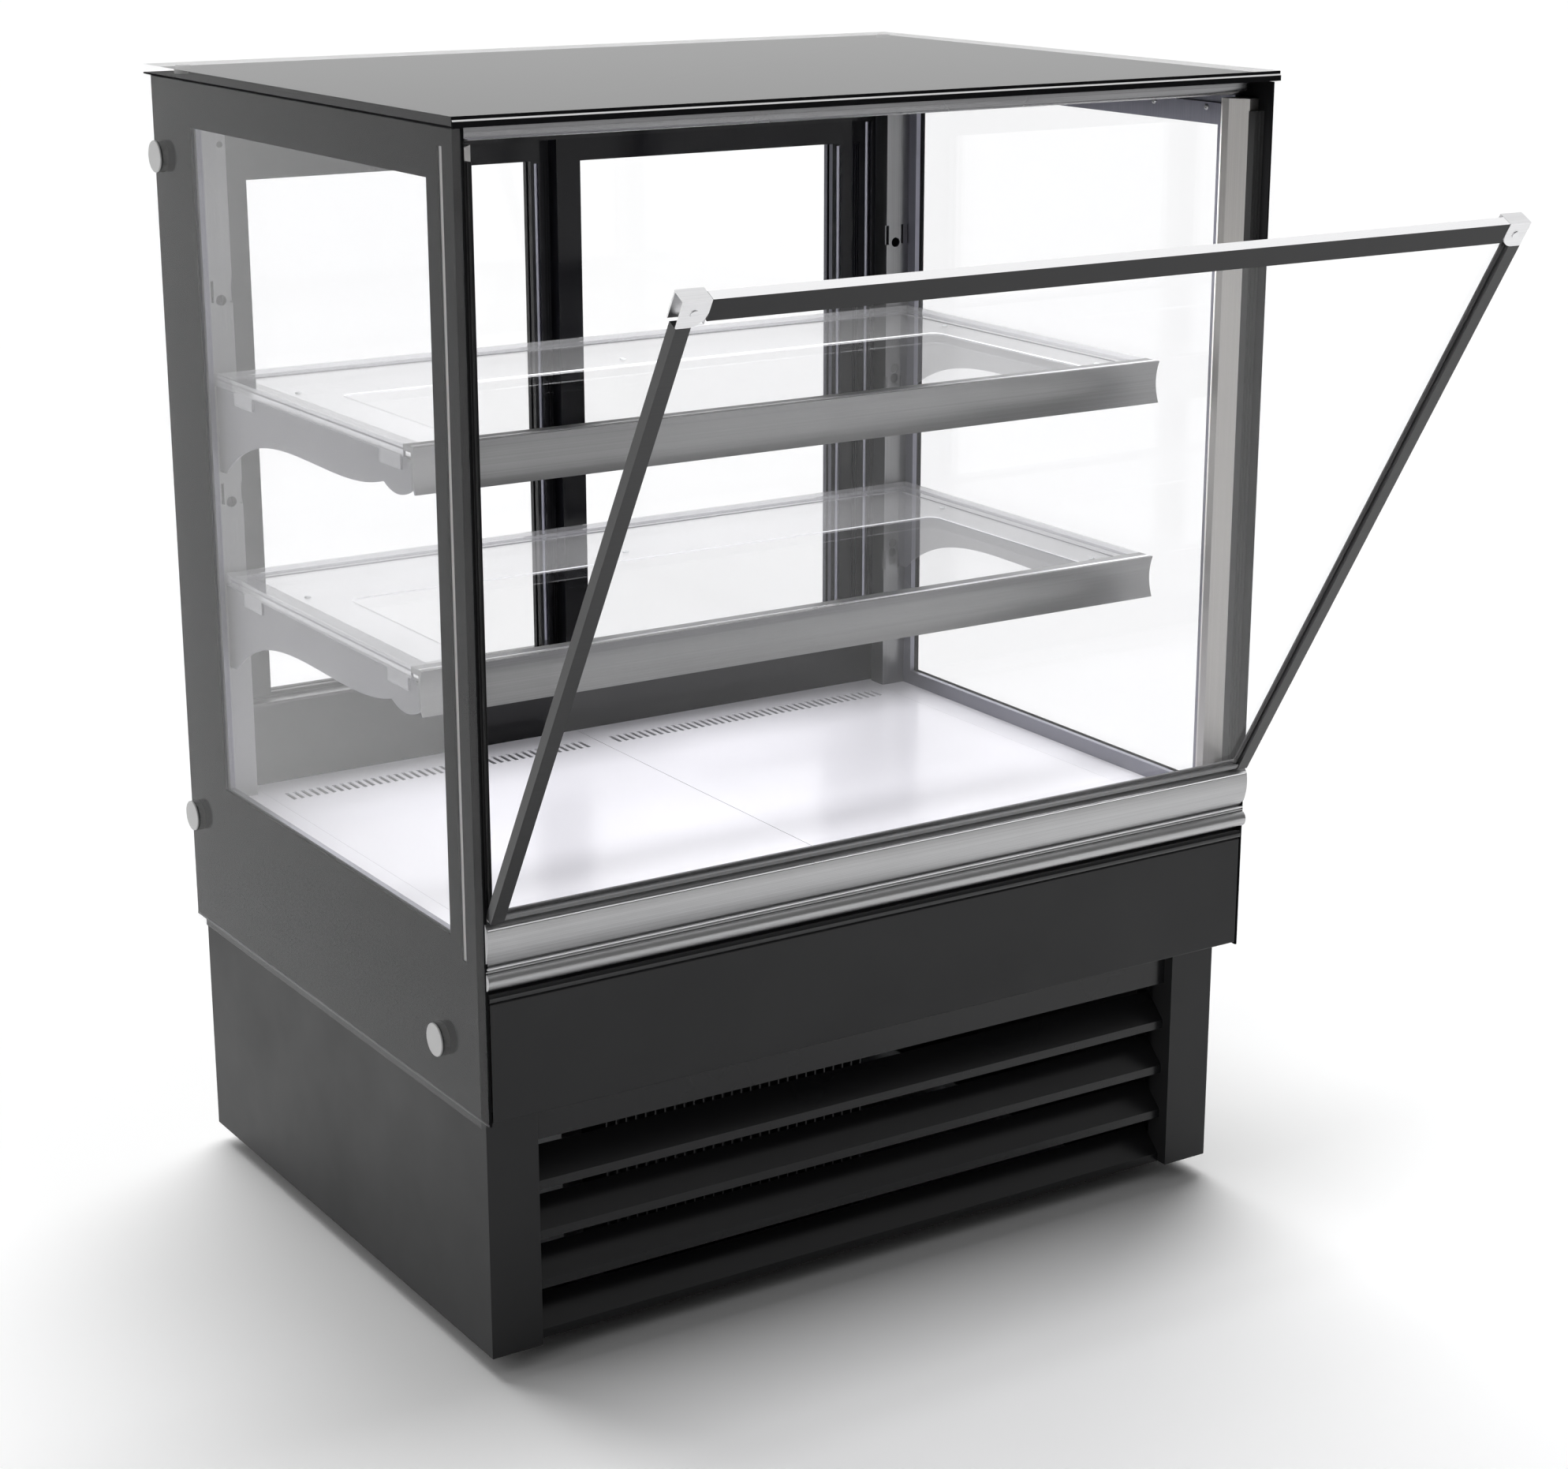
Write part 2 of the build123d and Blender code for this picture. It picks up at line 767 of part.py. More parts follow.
# Stainless front sill: a hollow face, a bead and a half-round band, with the door's channel behind
channel_floor = sill_top - channel_floor_drop
with BuildPart() as front_sill:
    with BuildSketch(Plane.YZ.offset(-skin_outer)) as outline:
        with BuildLine():
            Line((y(sill_rear), z(sill_top)), (y(-sill_lip), z(sill_top - sill_lip_drop)))
            ThreePointArc(
                (y(-sill_lip), z(sill_top - sill_lip_drop)),
                (y(-sill_face), z(sill_top - sill_face_drop)),
                (y(sill_neck), z(sill_top - sill_neck_drop)),
            )
            ThreePointArc(
                (y(sill_neck), z(sill_top - sill_neck_drop)),
                (y(sill_groove), z(sill_top - sill_groove_drop)),
                (y(sill_bead_foot), z(sill_top - sill_bead_start)),
            )
            ThreePointArc(
                (y(sill_bead_foot), z(sill_top - sill_bead_start)),
                (y(-sill_bead), z(sill_top - sill_bead_drop)),
                (y(sill_bead_foot), z(sill_top - sill_bead_end)),
            )
            ThreePointArc(
                (y(sill_bead_foot), z(sill_top - sill_bead_end)),
                (y(-sill_band), z(sill_top - sill_band_drop)),
                (y(sill_foot), z(sill_bottom)),
            )
            Polyline(
                (y(sill_foot), z(sill_bottom)),
                (y(tank_front), z(sill_bottom)),
                (y(tank_front), z(sill_top - clearance)),
                (y(tank_front - channel_wall), z(sill_top - clearance)),
                (y(tank_front - channel_wall), z(channel_floor)),
                (y(sill_rear), z(channel_floor)),
                (y(sill_rear), z(sill_top)),
            )
        make_face()
    extrude(outline.sketch, amount=2 * skin_outer)
    lip_point = (0, y(-sill_lip), z(sill_top - sill_lip_drop))
    lip_edge = front_sill.edges().filter_by(Axis.X).sort_by_distance(lip_point)[0]
    fillet(lip_edge, radius=sill_lip_round)
    for side in sides.values():
        block(
            span(side, inside, skin_outer),
            (-clearance, tank_front),
            (sill_bottom, sill_top),
            mode=Mode.SUBTRACT,
        )
        block(
            span(side, skin_inner - light_inner_reach - clearance, inside),
            (light_front - clearance, tank_front),
            (tank_rim, sill_top),
            mode=Mode.SUBTRACT,
        )
save(front_sill, "front_sill")

# Deck: two slotted pans between folded side strips, behind a return-air grille
pan_bottom = tank_rim
slot_depth = deck_rear - deck_slot_rear_gap - deck_slot_length / 2
slot_run = deck_margin_seam - deck_slot_first - deck_slot_end_gap
deck_slot_pitch = slot_run / (deck_slots - 1)
slot_row = deck_slot_first + slot_run / 2
with BuildPart() as deck_pans:
    for side in sides.values():
        block(
            span(side, deck_seam / 2, deck_margin_seam - clearance),
            (deck_pan_front, deck_rear),
            (pan_bottom, deck_level),
        )
        with BuildSketch(Plane.XY.offset(z(pan_bottom))) as slots:
            with Locations((side * slot_row, y(slot_depth))):
                with GridLocations(deck_slot_pitch, 0, deck_slots, 1):
                    Rectangle(deck_slot_width, deck_slot_length)
        extrude(slots.sketch, amount=deck_thickness, mode=Mode.SUBTRACT)
save(deck_pans, "deck_pans")

strip_front = light_front + light_depth + clearance
with BuildPart() as deck_strips:
    for side in sides.values():
        block(span(side, deck_margin_seam, inside), (strip_front, deck_rear), (pan_bottom, deck_level))
        block(
            span(side, deck_margin_seam - deck_ledge, tank_inner - clearance),
            (tank_front + tank_wall + clearance, tank_rear - tank_wall - clearance),
            (pan_bottom - deck_thickness, pan_bottom),
        )
save(deck_strips, "deck_strips")

with BuildPart() as return_air_grille:
    grille_edge = deck_margin_seam - clearance
    block(
        (-grille_edge, grille_edge),
        (tank_front, deck_pan_front - clearance),
        (pan_bottom, deck_level),
    )
    air_slot_depth = (air_grille_front + deck_pan_front) / 2
    air_run = 2 * (grille_edge - air_grille_end_margin) - air_grille_slot_length
    air_grille_pitch = air_run / (air_grille_slots - 1)
    with BuildSketch(Plane.XY.offset(z(pan_bottom))) as slots:
        with Locations((0, y(air_slot_depth))):
            with GridLocations(air_grille_pitch, air_grille_row_pitch, air_grille_slots, 2):
                Rectangle(air_grille_slot_length, air_grille_slot_width)
    extrude(slots.sketch, amount=deck_thickness, mode=Mode.SUBTRACT)
save(return_air_grille, "return_air_grille")

# Glazing frames round the windows, rebated for the window panes, and the rails above them
frame_inner = skin_inner - frame_ring
pane_inner = skin_inner - window_glass
frame_top = window_top + frame_head
frame_bottom = deck_level
frame_rear = window_rear + frame_rear_stile
with BuildPart() as glazing_frames:
    for side in sides.values():
        ring = span(side, frame_inner, skin_inner)
        block(ring, (window_front - frame_front_stile, frame_rear), (frame_bottom, frame_top))
        block(ring, (window_front, window_rear), (window_bottom, window_top), mode=Mode.SUBTRACT)
        block(
            span(side, pane_inner - clearance, skin_inner),
            (window_front - window_lap - clearance, window_rear + window_lap + clearance),
            (window_bottom - window_lap - clearance, window_top + window_lap + clearance),
            mode=Mode.SUBTRACT,
        )
        block(
            span(side, frame_inner + frame_top_rail_gap, skin_inner),
            (light_front + light_depth + clearance, frame_rear),
            (frame_top + clearance, top_under),
        )
save(glazing_frames, "glazing_frames")

with BuildPart() as window_panes:
    for side in sides.values():
        block(
            span(side, pane_inner, skin_inner),
            (window_front - window_lap, window_rear + window_lap),
            (window_bottom - window_lap, window_top + window_lap),
        )
save(window_panes, "window_panes")

# Corner light housings with a bevelled back, and the diffusers that they hold
light_rear = light_front + light_depth
light_bottom = tank_rim + clearance
light_top = top_under - light_top_gap


def light_section(side):
    """The plan of one housing: square to the skin, bevelled towards the customer."""
    corner = side * (skin_inner - light_inner_reach)
    return [
        (side * skin_inner, y(light_front)),
        (side * (skin_inner - light_outer_face), y(light_front)),
        (corner, y(light_front + light_chamfer)),
        (corner, y(light_rear - diffuser)),
        (side * frame_inner - side * lens_margin, y(light_rear - diffuser)),
        (side * frame_inner - side * lens_margin, y(light_rear)),
        (side * skin_inner, y(light_rear)),
    ]


with BuildPart() as corner_lights:
    for side in sides.values():
        with BuildSketch(Plane.XY.offset(z(light_bottom))) as outline:
            with BuildLine():
                Polyline(*light_section(side), close=True)
            make_face()
        extrude(outline.sketch, amount=light_top - light_bottom)
        block(
            span(side, skin_inner - diffuser, skin_inner),
            (slit_front, slit_front + slit_width),
            (light_bottom, light_top),
            mode=Mode.SUBTRACT,
        )
save(corner_lights, "corner_lights")

with BuildPart() as light_diffusers:
    for side in sides.values():
        block(
            span(side, skin_inner - diffuser, skin_inner),
            (slit_front + clearance, slit_front + slit_width - clearance),
            (light_bottom, light_top),
        )
        block(
            span(side, skin_inner - light_inner_reach, frame_inner - lens_margin - clearance),
            (light_rear - diffuser, light_rear),
            (light_bottom, light_top),
        )
save(light_diffusers, "light_diffusers")

# Ribbed rubber that the closed door meets
gasket_top = top_under - gasket_top_gap
with BuildPart() as door_gaskets:
    for side in sides.values():
        outer = skin_inner
        inner = skin_inner - gasket_width
        with BuildSketch(Plane.XY.offset(z(sill_top))) as outline:
            with Locations((side * (outer + inner) / 2, y((gasket_front + light_front) / 2))):
                Rectangle(outer - inner, light_front - gasket_front)
            with Locations((side * (outer + inner) / 2, y(gasket_front))):
                with GridLocations(gasket_width / 3, 0, 3, 1):
                    Circle(gasket_rib, mode=Mode.SUBTRACT)
        extrude(outline.sketch, amount=gasket_top - sill_top)
save(door_gaskets, "door_gaskets")

# Cornice: a rounded bar under the front of the top
cornice_half = skin_inner - gasket_width
with BuildPart() as cornice:
    block(
        (-cornice_half, cornice_half),
        (cornice_front, cornice_front + cornice_depth),
        (top_under - cornice_height, top_under),
    )
    lower_edges = cornice.edges().filter_by(Axis.X).group_by(Axis.Z)[0]
    fillet(lower_edges, radius=cornice_radius)
save(cornice, "cornice")

# Rear wall below the sliding doors, with seats for the controller and the switches
rear_wall_back = rear_wall_front + rear_wall_thickness
panel_level = (tank_rim + rear_wall_top) / 2
switches = {"power": switch_x, "light": switch_x + switch_pitch}
with BuildPart() as rear_wall:
    section(
        [
            (rear_wall_front, tank_rim),
            (rear_wall_back, tank_rim),
            (rear_wall_back, rear_wall_top),
            (rear_wall_front, rear_wall_top),
        ],
        (-inside, inside),
    )
    block(
        (-inside, inside),
        (tank_rear, rear_wall_back),
        (plinth_height, tank_rim),
    )
    block(
        (controller_x - controller_width / 2, controller_x + controller_width / 2),
        (rear_wall_back - controller_body - clearance, rear_wall_back),
        (panel_level - controller_height / 2, panel_level + controller_height / 2),
        mode=Mode.SUBTRACT,
    )
    for switch_at in switches.values():
        block(
            (switch_at - switch_width / 2, switch_at + switch_width / 2),
            (rear_wall_back - controller_body - clearance, rear_wall_back),
            (panel_level - switch_height / 2, panel_level + switch_height / 2),
            mode=Mode.SUBTRACT,
        )
save(rear_wall, "rear_wall")

# Track on the rear wall with three ribs, one on each side of every door
door_track_front = case_depth - track_rear_margin
track_front = door_track_front - track_rib
door_fronts = {"right": door_track_front, "left": door_track_front + track_spacing}
jamb_inner = inside - jamb_width


def ribs(x_range, heights):
    """The ribs that guide the two rear doors, in the track or in the header."""
    gaps = [door_fronts["right"], door_fronts["left"]]
    block(x_range, (track_front, gaps[0] - clearance), heights)
    block(x_range, (gaps[0] + rear_door_thickness + clearance, gaps[1] - clearance), heights)
    block(x_range, (gaps[1] + rear_door_thickness + clearance, rear_wall_back), heights)


track_top = rear_wall_top + track_height
with BuildPart() as rear_track:
    block((-inside, inside), (track_front, rear_wall_back), (rear_wall_top, rear_wall_top + track_height / 2))
    ribs((-jamb_inner, jamb_inner), (rear_wall_top + track_height / 2, track_top))
save(rear_track, "rear_track")

# Rear frame: a header with the same guide ribs, and a jamb at each end of the track
with BuildPart() as rear_frame:
    block((-inside, inside), (track_front, rear_wall_back), (header_bottom + track_height, top_under))
    ribs((-jamb_inner, jamb_inner), (header_bottom, header_bottom + track_height))
    for side in sides.values():
        block(
            span(side, jamb_inner + clearance, inside),
            (track_front, rear_wall_back),
            (rear_wall_top + track_height / 2, header_bottom + track_height),
        )
save(rear_frame, "rear_frame")

# Rear sliding doors: a framed pane each, the right one on the inner track
door_bottom = rear_wall_top + track_height / 2 + clearance
door_top = header_bottom + track_height - clearance
glass_low = rear_wall_top + rear_rail_bottom
glass_high = header_bottom - rear_rail_top
door_outer_edge = jamb_inner
pull_level = (glass_low + glass_high) / 2
front_door_edge = rear_meeting_line - rear_door_overlap / 2
back_door_edge = rear_meeting_line + rear_door_overlap / 2
rear_doors = {
    "left": (-door_outer_edge, back_door_edge, rear_stile_back_outer, rear_stile_back_inner),
    "right": (front_door_edge, door_outer_edge, rear_stile_front_inner, rear_stile_front_outer),
}
for name, (low_x, high_x, low_stile, high_stile) in rear_doors.items():
    face = door_fronts[name]
    middle = face + rear_door_thickness / 2
    glass_left = low_x + low_stile - rear_glass_lap
    glass_right = high_x - high_stile + rear_glass_lap
    with BuildPart() as rear_door_frame:
        block((low_x, high_x), (face, face + rear_door_thickness), (door_bottom, door_top))
        block(
            (low_x + low_stile, high_x - high_stile),
            (face, face + rear_door_thickness),
            (glass_low, glass_high),
            mode=Mode.SUBTRACT,
        )
        block(
            (glass_left - clearance, glass_right + clearance),
            (middle - rear_glass / 2 - clearance, middle + rear_glass / 2 + clearance),
            (glass_low - rear_glass_foot - clearance, glass_high + rear_glass_lap + clearance),
            mode=Mode.SUBTRACT,
        )
        pull_edge = sides[name] * (door_outer_edge - pull_inset)
        block(
            span(1, pull_edge, pull_edge - sides[name] * pull_width),
            (face + rear_door_thickness - pull_depth, face + rear_door_thickness),
            (pull_level - pull_height / 2, pull_level + pull_height / 2),
            mode=Mode.SUBTRACT,
        )
        for index in range(rear_stile_grooves):
            groove_x = high_x - rear_stile_groove_edge + index * rear_stile_groove_pitch
            block(
                (groove_x, groove_x + rear_stile_groove),
                (face, face + rear_stile_groove),
                (glass_low, glass_high),
                mode=Mode.SUBTRACT,
            )
    save(rear_door_frame, f"rear_door_frame_{name}")
    with BuildPart() as rear_door_pane:
        block(
            (glass_left, glass_right),
            (middle - rear_glass / 2, middle + rear_glass / 2),
            (glass_low - rear_glass_foot, glass_high + rear_glass_lap),
        )
    save(rear_door_pane, f"rear_door_pane_{name}")

# Uprights: folded channels with round holes and pairs of hook slots
upright_bottom = deck_level
upright_top = top_under - upright_top_gap
hole_levels = []
hook_rows = []
spare_rows = []
for level in levels:
    hole_levels += [level - bracket_heel + upright_hole_rise, level + spare_hole_rise]
    hook_rows += [level - hook_height, level - bracket_heel + hook_height, level + spare_slot_rise]
    spare_rows.append(level + spare_slot_rise)
top_hole_level = upright_top - top_hole_drop
with BuildPart() as uprights:
    for side in sides.values():
        with BuildSketch(Plane.XY.offset(z(upright_bottom))) as channel:
            with BuildLine():
                path = Polyline(
                    (side * (upright_inner + upright_sheet / 2), y(upright_front + upright_return)),
                    (side * (upright_inner + upright_sheet / 2), y(upright_front + upright_sheet / 2)),
                    (side * (inside - upright_sheet / 2), y(upright_front + upright_sheet / 2)),
                    (side * (inside - upright_sheet / 2), y(upright_front + upright_return)),
                )
            trace(path, line_width=upright_sheet)
        extrude(channel.sketch, amount=upright_top - upright_bottom)
        with BuildSketch(Plane.XZ.offset(-y(upright_front + upright_sheet))) as openings:
            hole_x = side * (upright_inner + upright_hole_inset)
            with Locations(*[(hole_x, z(level)) for level in hole_levels]):
                Circle(upright_hole_radius)
            with Locations((side * (upright_inner + top_hole_inset), z(top_hole_level))):
                Circle(top_hole_radius)
            for row in hook_rows:
                for column in (bracket_plane, bracket_plane + hook_slot_spacing):
                    with Locations((side * column, z(row - hook_slot_height / 2 + clearance))):
                        Rectangle(hook_slot_width, hook_slot_height)
        extrude(openings.sketch, amount=upright_sheet, mode=Mode.SUBTRACT)
        for row in spare_rows:
            block(
                span(side, upright_inner, upright_inner + fold_slot_reach),
                (upright_front, upright_front + fold_slot_reach),
                (row - hook_slot_height, row),
                mode=Mode.SUBTRACT,
            )
save(uprights, "uprights")

# Shelf brackets: a curved plate that hooks into the upright and carries a shelf


def bracket(level, side):
    """The side view of one bracket, with two hooks at its back, extruded to its thickness."""
    low, high = span(side, bracket_plane - bracket_thickness / 2, bracket_plane + bracket_thickness / 2)
    back = upright_front
    reach = back - bracket_front
    foot = level - bracket_heel
    heel = (y(back - bracket_heel_flat), z(foot))
    curve = (y(back - bracket_curve_depth), z(foot + bracket_curve_rise))
    arch = (y(bracket_front + bracket_arch_share * reach), z(level - bracket_arch_drop))
    waist = (y(bracket_front + bracket_waist_share * reach), z(level - bracket_waist_drop))
    belly = (y(bracket_front + bracket_belly_share * reach), z(level - bracket_belly_drop))
    nose = (y(bracket_front), z(level - bracket_nose))
    with BuildSketch(Plane.YZ.offset(low)) as plate:
        with BuildLine():
            Polyline(nose, (y(bracket_front), z(level)), (y(back), z(level)), (y(back), z(foot)), heel)
            Spline(heel, curve, arch, waist)
            ThreePointArc(waist, belly, nose)
        make_face()
        for row in (level - hook_height, foot + hook_height):
            with BuildLine():
                Polyline(
                    (y(back), z(row)),
                    (y(back + hook_depth), z(row)),
                    (y(back + hook_depth), z(row - hook_height)),
                    (y(back + upright_sheet + clearance), z(row - hook_height)),
                    (y(back + upright_sheet + clearance), z(row - hook_height + hook_drop)),
                    (y(back), z(row - hook_height + hook_drop)),
                    close=True,
                )
            make_face()
    extrude(plate.sketch, amount=high - low)


with BuildPart() as brackets:
    for level in levels:
        for side in sides.values():
            bracket(level, side)
save(brackets, "brackets")

# Shelves: a glass plate held by a hollow-faced front rail and a milky rim on the other three sides
shelf_rear = upright_front - shelf_rear_gap
plate_half = shelf_half_width - rim_wall - clearance


def front_rail(level):
    """A front rail: a hollow face, and two lips that grip the edge of the shelf's plate."""
    top = level + rail_rise
    bottom = top - rail_height
    hollow = shelf_front + rail_hollow
    seat = hollow + rail_wall
    lip_back = bracket_front - clearance
    over = level + shelf_glass + clearance
    under = level - clearance
    with BuildSketch(Plane.YZ.offset(-shelf_half_width)) as outline:
        with BuildLine():
            ThreePointArc(
                (y(shelf_front), z(bottom)),
                (y(hollow), z((top + bottom) / 2)),
                (y(shelf_front), z(top)),
            )
            Polyline(
                (y(shelf_front), z(top)),
                (y(hollow + rail_grip), z(top)),
                (y(hollow + rail_grip), z(over)),
                (y(seat - clearance), z(over)),
                (y(seat - clearance), z(under)),
                (y(lip_back), z(under)),
                (y(lip_back), z(under - rail_wall)),
                (y(seat), z(under - rail_wall)),
            )
            ThreePointArc(
                (y(seat), z(under - rail_wall)),
                (y(seat - rail_wall / 4), z((under + bottom) / 2)),
                (y(shelf_front + rail_wall), z(bottom)),
            )
            Line((y(shelf_front + rail_wall), z(bottom)), (y(shelf_front), z(bottom)))
        make_face()
    extrude(outline.sketch, amount=2 * shelf_half_width)


rim_front = shelf_front + rail_hollow + rail_grip + clearance
rim_depth = shelf_rear - rim_front
rim_middle = (shelf_rear + rim_front) / 2
with BuildPart() as shelf_plates:
    for level in levels:
        block(
            (-plate_half, plate_half),
            (shelf_front + rail_hollow + rail_wall, shelf_rear - rim_wall - clearance),
            (level, level + shelf_glass),
        )
save(shelf_plates, "shelf_plates")

with BuildPart() as shelf_rails:
    for level in levels:
        front_rail(level)
save(shelf_rails, "shelf_rails")


def open_frame(height, side_width, top):
    """Three sides of a frame round the back and both ends of a shelf, extruded upwards."""
    with BuildSketch(Plane.XY.offset(z(height))) as outline:
        with Locations((0, y(rim_middle))):
            Rectangle(2 * shelf_half_width, rim_depth)
        with Locations((0, y(rim_middle - side_width / 2))):
            Rectangle(2 * (shelf_half_width - side_width), rim_depth - side_width, mode=Mode.SUBTRACT)
    extrude(outline.sketch, amount=top - height)


with BuildPart() as shelf_rims:
    for level in levels:
        plate_top = level + shelf_glass
        open_frame(plate_top, rim_strip, plate_top + rim_base)
        open_frame(level, rim_wall, level + rail_rise)
        for side in sides.values():
            for tab_at in (shelf_rear - tab_rear_inset, rim_front + tab_front_inset):
                block(
                    span(side, plate_half + clearance, shelf_half_width),
                    (tab_at, tab_at + tab_length),
                    (plate_top - tab_height, plate_top),
                )
    fillet(shelf_rims.edges().filter_by(Axis.Z).group_by(Axis.Y)[-1], radius=rim_wall)
save(shelf_rims, "shelf_rims")

# Front door, built on its own plane: X across, Y up along the glass and Z out towards the customer
tilt = radians(door_tilt)
door_plane = Plane(
    origin=(0, y(hinge_depth), z(hinge_level)),
    x_dir=(1, 0, 0),
    z_dir=(0, -cos(tilt), -sin(tilt)),
)
door_half = skin_inner - door_side_gap
bar_inner = door_half - door_bar
bar_bottom = door_foot
bar_top = door_length - corner_height - clearance
rail_half = door_half - corner_width - clearance


def door_block(x_range, along, outward, mode=Mode.ADD):
    """Extrude a block of the front door between two widths, two places along it and two offsets."""
    with BuildSketch(door_plane.offset(outward[0])) as outline:
        with Locations(((x_range[0] + x_range[1]) / 2, (along[0] + along[1]) / 2)):
            Rectangle(abs(x_range[1] - x_range[0]), along[1] - along[0])
    extrude(outline.sketch, amount=outward[1] - outward[0], mode=mode)


groove = (-door_groove_gap, door_glass + door_groove_gap)
glass_half = bar_inner + door_bar_groove
with BuildPart() as door_bars:
    for side in sides.values():
        door_block(span(side, bar_inner, door_half), (bar_bottom, bar_top), (door_back, door_face))
        door_block(
            span(side, bar_inner, glass_half + clearance),
            (bar_bottom, bar_top),
            groove,
            mode=Mode.SUBTRACT,
        )
save(door_bars, "door_bars")

with BuildPart() as door_top_rail:
    rail_low = door_length - door_rail_top
    door_block((-rail_half, rail_half), (rail_low, door_length), (door_back, door_face))
    door_block(
        (-rail_half, rail_half),
        (rail_low, rail_low + door_grip + clearance),
        groove,
        mode=Mode.SUBTRACT,
    )
save(door_top_rail, "door_top_rail")

with BuildPart() as door_bottom_rail:
    low_edge = door_foot + bottom_rail_lift
    rail_high = low_edge + bottom_rail_height
    bottom_half = bar_inner - clearance
    door_block(
        (-bottom_half, bottom_half),
        (low_edge, rail_high),
        (-bottom_rail_wall, door_glass + bottom_rail_wall),
    )
    door_block(
        (-bottom_half, bottom_half),
        (rail_high - bottom_rail_grip - clearance, rail_high),
        groove,
        mode=Mode.SUBTRACT,
    )
save(door_bottom_rail, "door_bottom_rail")

with BuildPart() as door_glass_pane:
    door_block(
        (-glass_half, glass_half),
        (rail_high - bottom_rail_grip, rail_low + door_grip),
        (0, door_glass),
    )
    for side in sides.values():
        door_block(
            span(side, rail_half - clearance, glass_half),
            (bar_top - clearance, rail_low + door_grip),
            (0, door_glass),
            mode=Mode.SUBTRACT,
        )
save(door_glass_pane, "door_glass")

# Folded corner pieces of the front door, open at their outer end, and the screws that hold them
with BuildPart() as door_corners:
    for side in sides.values():
        width = span(side, door_half - corner_width, door_half)
        centre = (side * (door_half - corner_width / 2), door_length - corner_height / 2)
        with BuildSketch(door_plane.offset(corner_back)) as outline:
            with Locations(centre):
                Rectangle(corner_width, corner_height)
            lower = outline.vertices().group_by(Axis.Y)[0].sort_by(Axis.X)
            fillet(lower[0] if side > 0 else lower[-1], radius=corner_radius)
        extrude(outline.sketch, amount=door_face - corner_back)
        door_block(
            width,
            (door_length - corner_height, door_length - corner_sheet),
            (corner_back + corner_sheet, door_face - corner_sheet),
            mode=Mode.SUBTRACT,
        )
        with BuildSketch(door_plane.offset(door_face)) as screw_head:
            with Locations(centre):
                Circle(corner_screw_radius)
        extrude(screw_head.sketch, amount=corner_screw_head)
save(door_corners, "door_corners")

# Hinge shoes under the side bars, bored for the fixed pins
with BuildPart() as door_shoes:
    for side in sides.values():
        width = span(side, bar_inner, bar_inner + shoe_thickness)
        door_block(width, (0, door_foot), (-shoe_half, shoe_half))
        low, high = width
        with BuildSketch(Plane.YZ.offset(low)) as knuckle:
            with Locations((y(hinge_depth), z(hinge_level))):
                Circle(knuckle_radius)
        extrude(knuckle.sketch, amount=high - low)
        with BuildSketch(Plane.YZ.offset(low)) as bore:
            with Locations((y(hinge_depth), z(hinge_level))):
                Circle(hinge_pin_radius + hinge_running_gap)
        extrude(bore.sketch, amount=high - low, mode=Mode.SUBTRACT)
save(door_shoes, "door_shoes")

# Hinge blocks in the sill's channel, each with its pin
with BuildPart() as hinge_blocks:
    for side in sides.values():
        block(
            span(side, bar_inner + shoe_thickness + clearance, inside),
            (hinge_depth - hinge_block_depth / 2, hinge_depth + hinge_block_depth / 2),
            (channel_floor, channel_floor + hinge_block_height),
        )
        low, high = span(side, bar_inner, bar_inner + shoe_thickness + 2 * clearance)
        with BuildSketch(Plane.YZ.offset(low)) as pin:
            with Locations((y(hinge_depth), z(hinge_level))):
                Circle(hinge_pin_radius)
        extrude(pin.sketch, amount=high - low)
save(hinge_blocks, "hinge_blocks")

# Cooling coil: a core with upright fins, and the return bends at its ends
coil_bottom = plinth_height + tank_floor
coil_back = drain_depth - drain_to_coil
coil_middle = (coil_front + coil_back) / 2
coil_half_width = tank_inner - coil_side_gap
with BuildPart() as evaporator_coil:
    core_top = coil_bottom + coil_core
    block((-coil_half_width, coil_half_width), (coil_front, coil_back), (coil_bottom, core_top))
    fin_pitch = (2 * coil_half_width - coil_fin_thickness) / (coil_fins - 1)
    with BuildSketch(Plane.XZ.offset(-y(coil_back))) as fins:
        with Locations((0, z(coil_bottom + coil_height / 2))):
            with GridLocations(fin_pitch, 0, coil_fins, 1):
                Rectangle(coil_fin_thickness, coil_height)
    extrude(fins.sketch, amount=coil_back - coil_front)
    for side in sides.values():
        path_radius = coil_core / 3
        bend_at = side * coil_half_width
        with BuildSketch(Plane.YZ.offset(bend_at)) as tube:
            with Locations((y(coil_middle), z(coil_bottom + coil_core / 2 + path_radius))):
                RegularPolygon(pipe_radius, pipe_sides)
        axis = Axis((bend_at, y(coil_middle), z(coil_bottom + coil_core / 2)), (0, side, 0))
        revolve(tube.sketch, axis=axis, revolution_arc=180)
save(evaporator_coil, "evaporator_coil")

# Fans: a hub bored for the motor shaft, with pitched blades


def facing_front(centre_x, depth, height):
    """A plane that looks at the customer, centred on a fan's axis."""
    return Plane(origin=(centre_x, y(depth), z(height)), x_dir=(1, 0, 0), z_dir=(0, -1, 0))


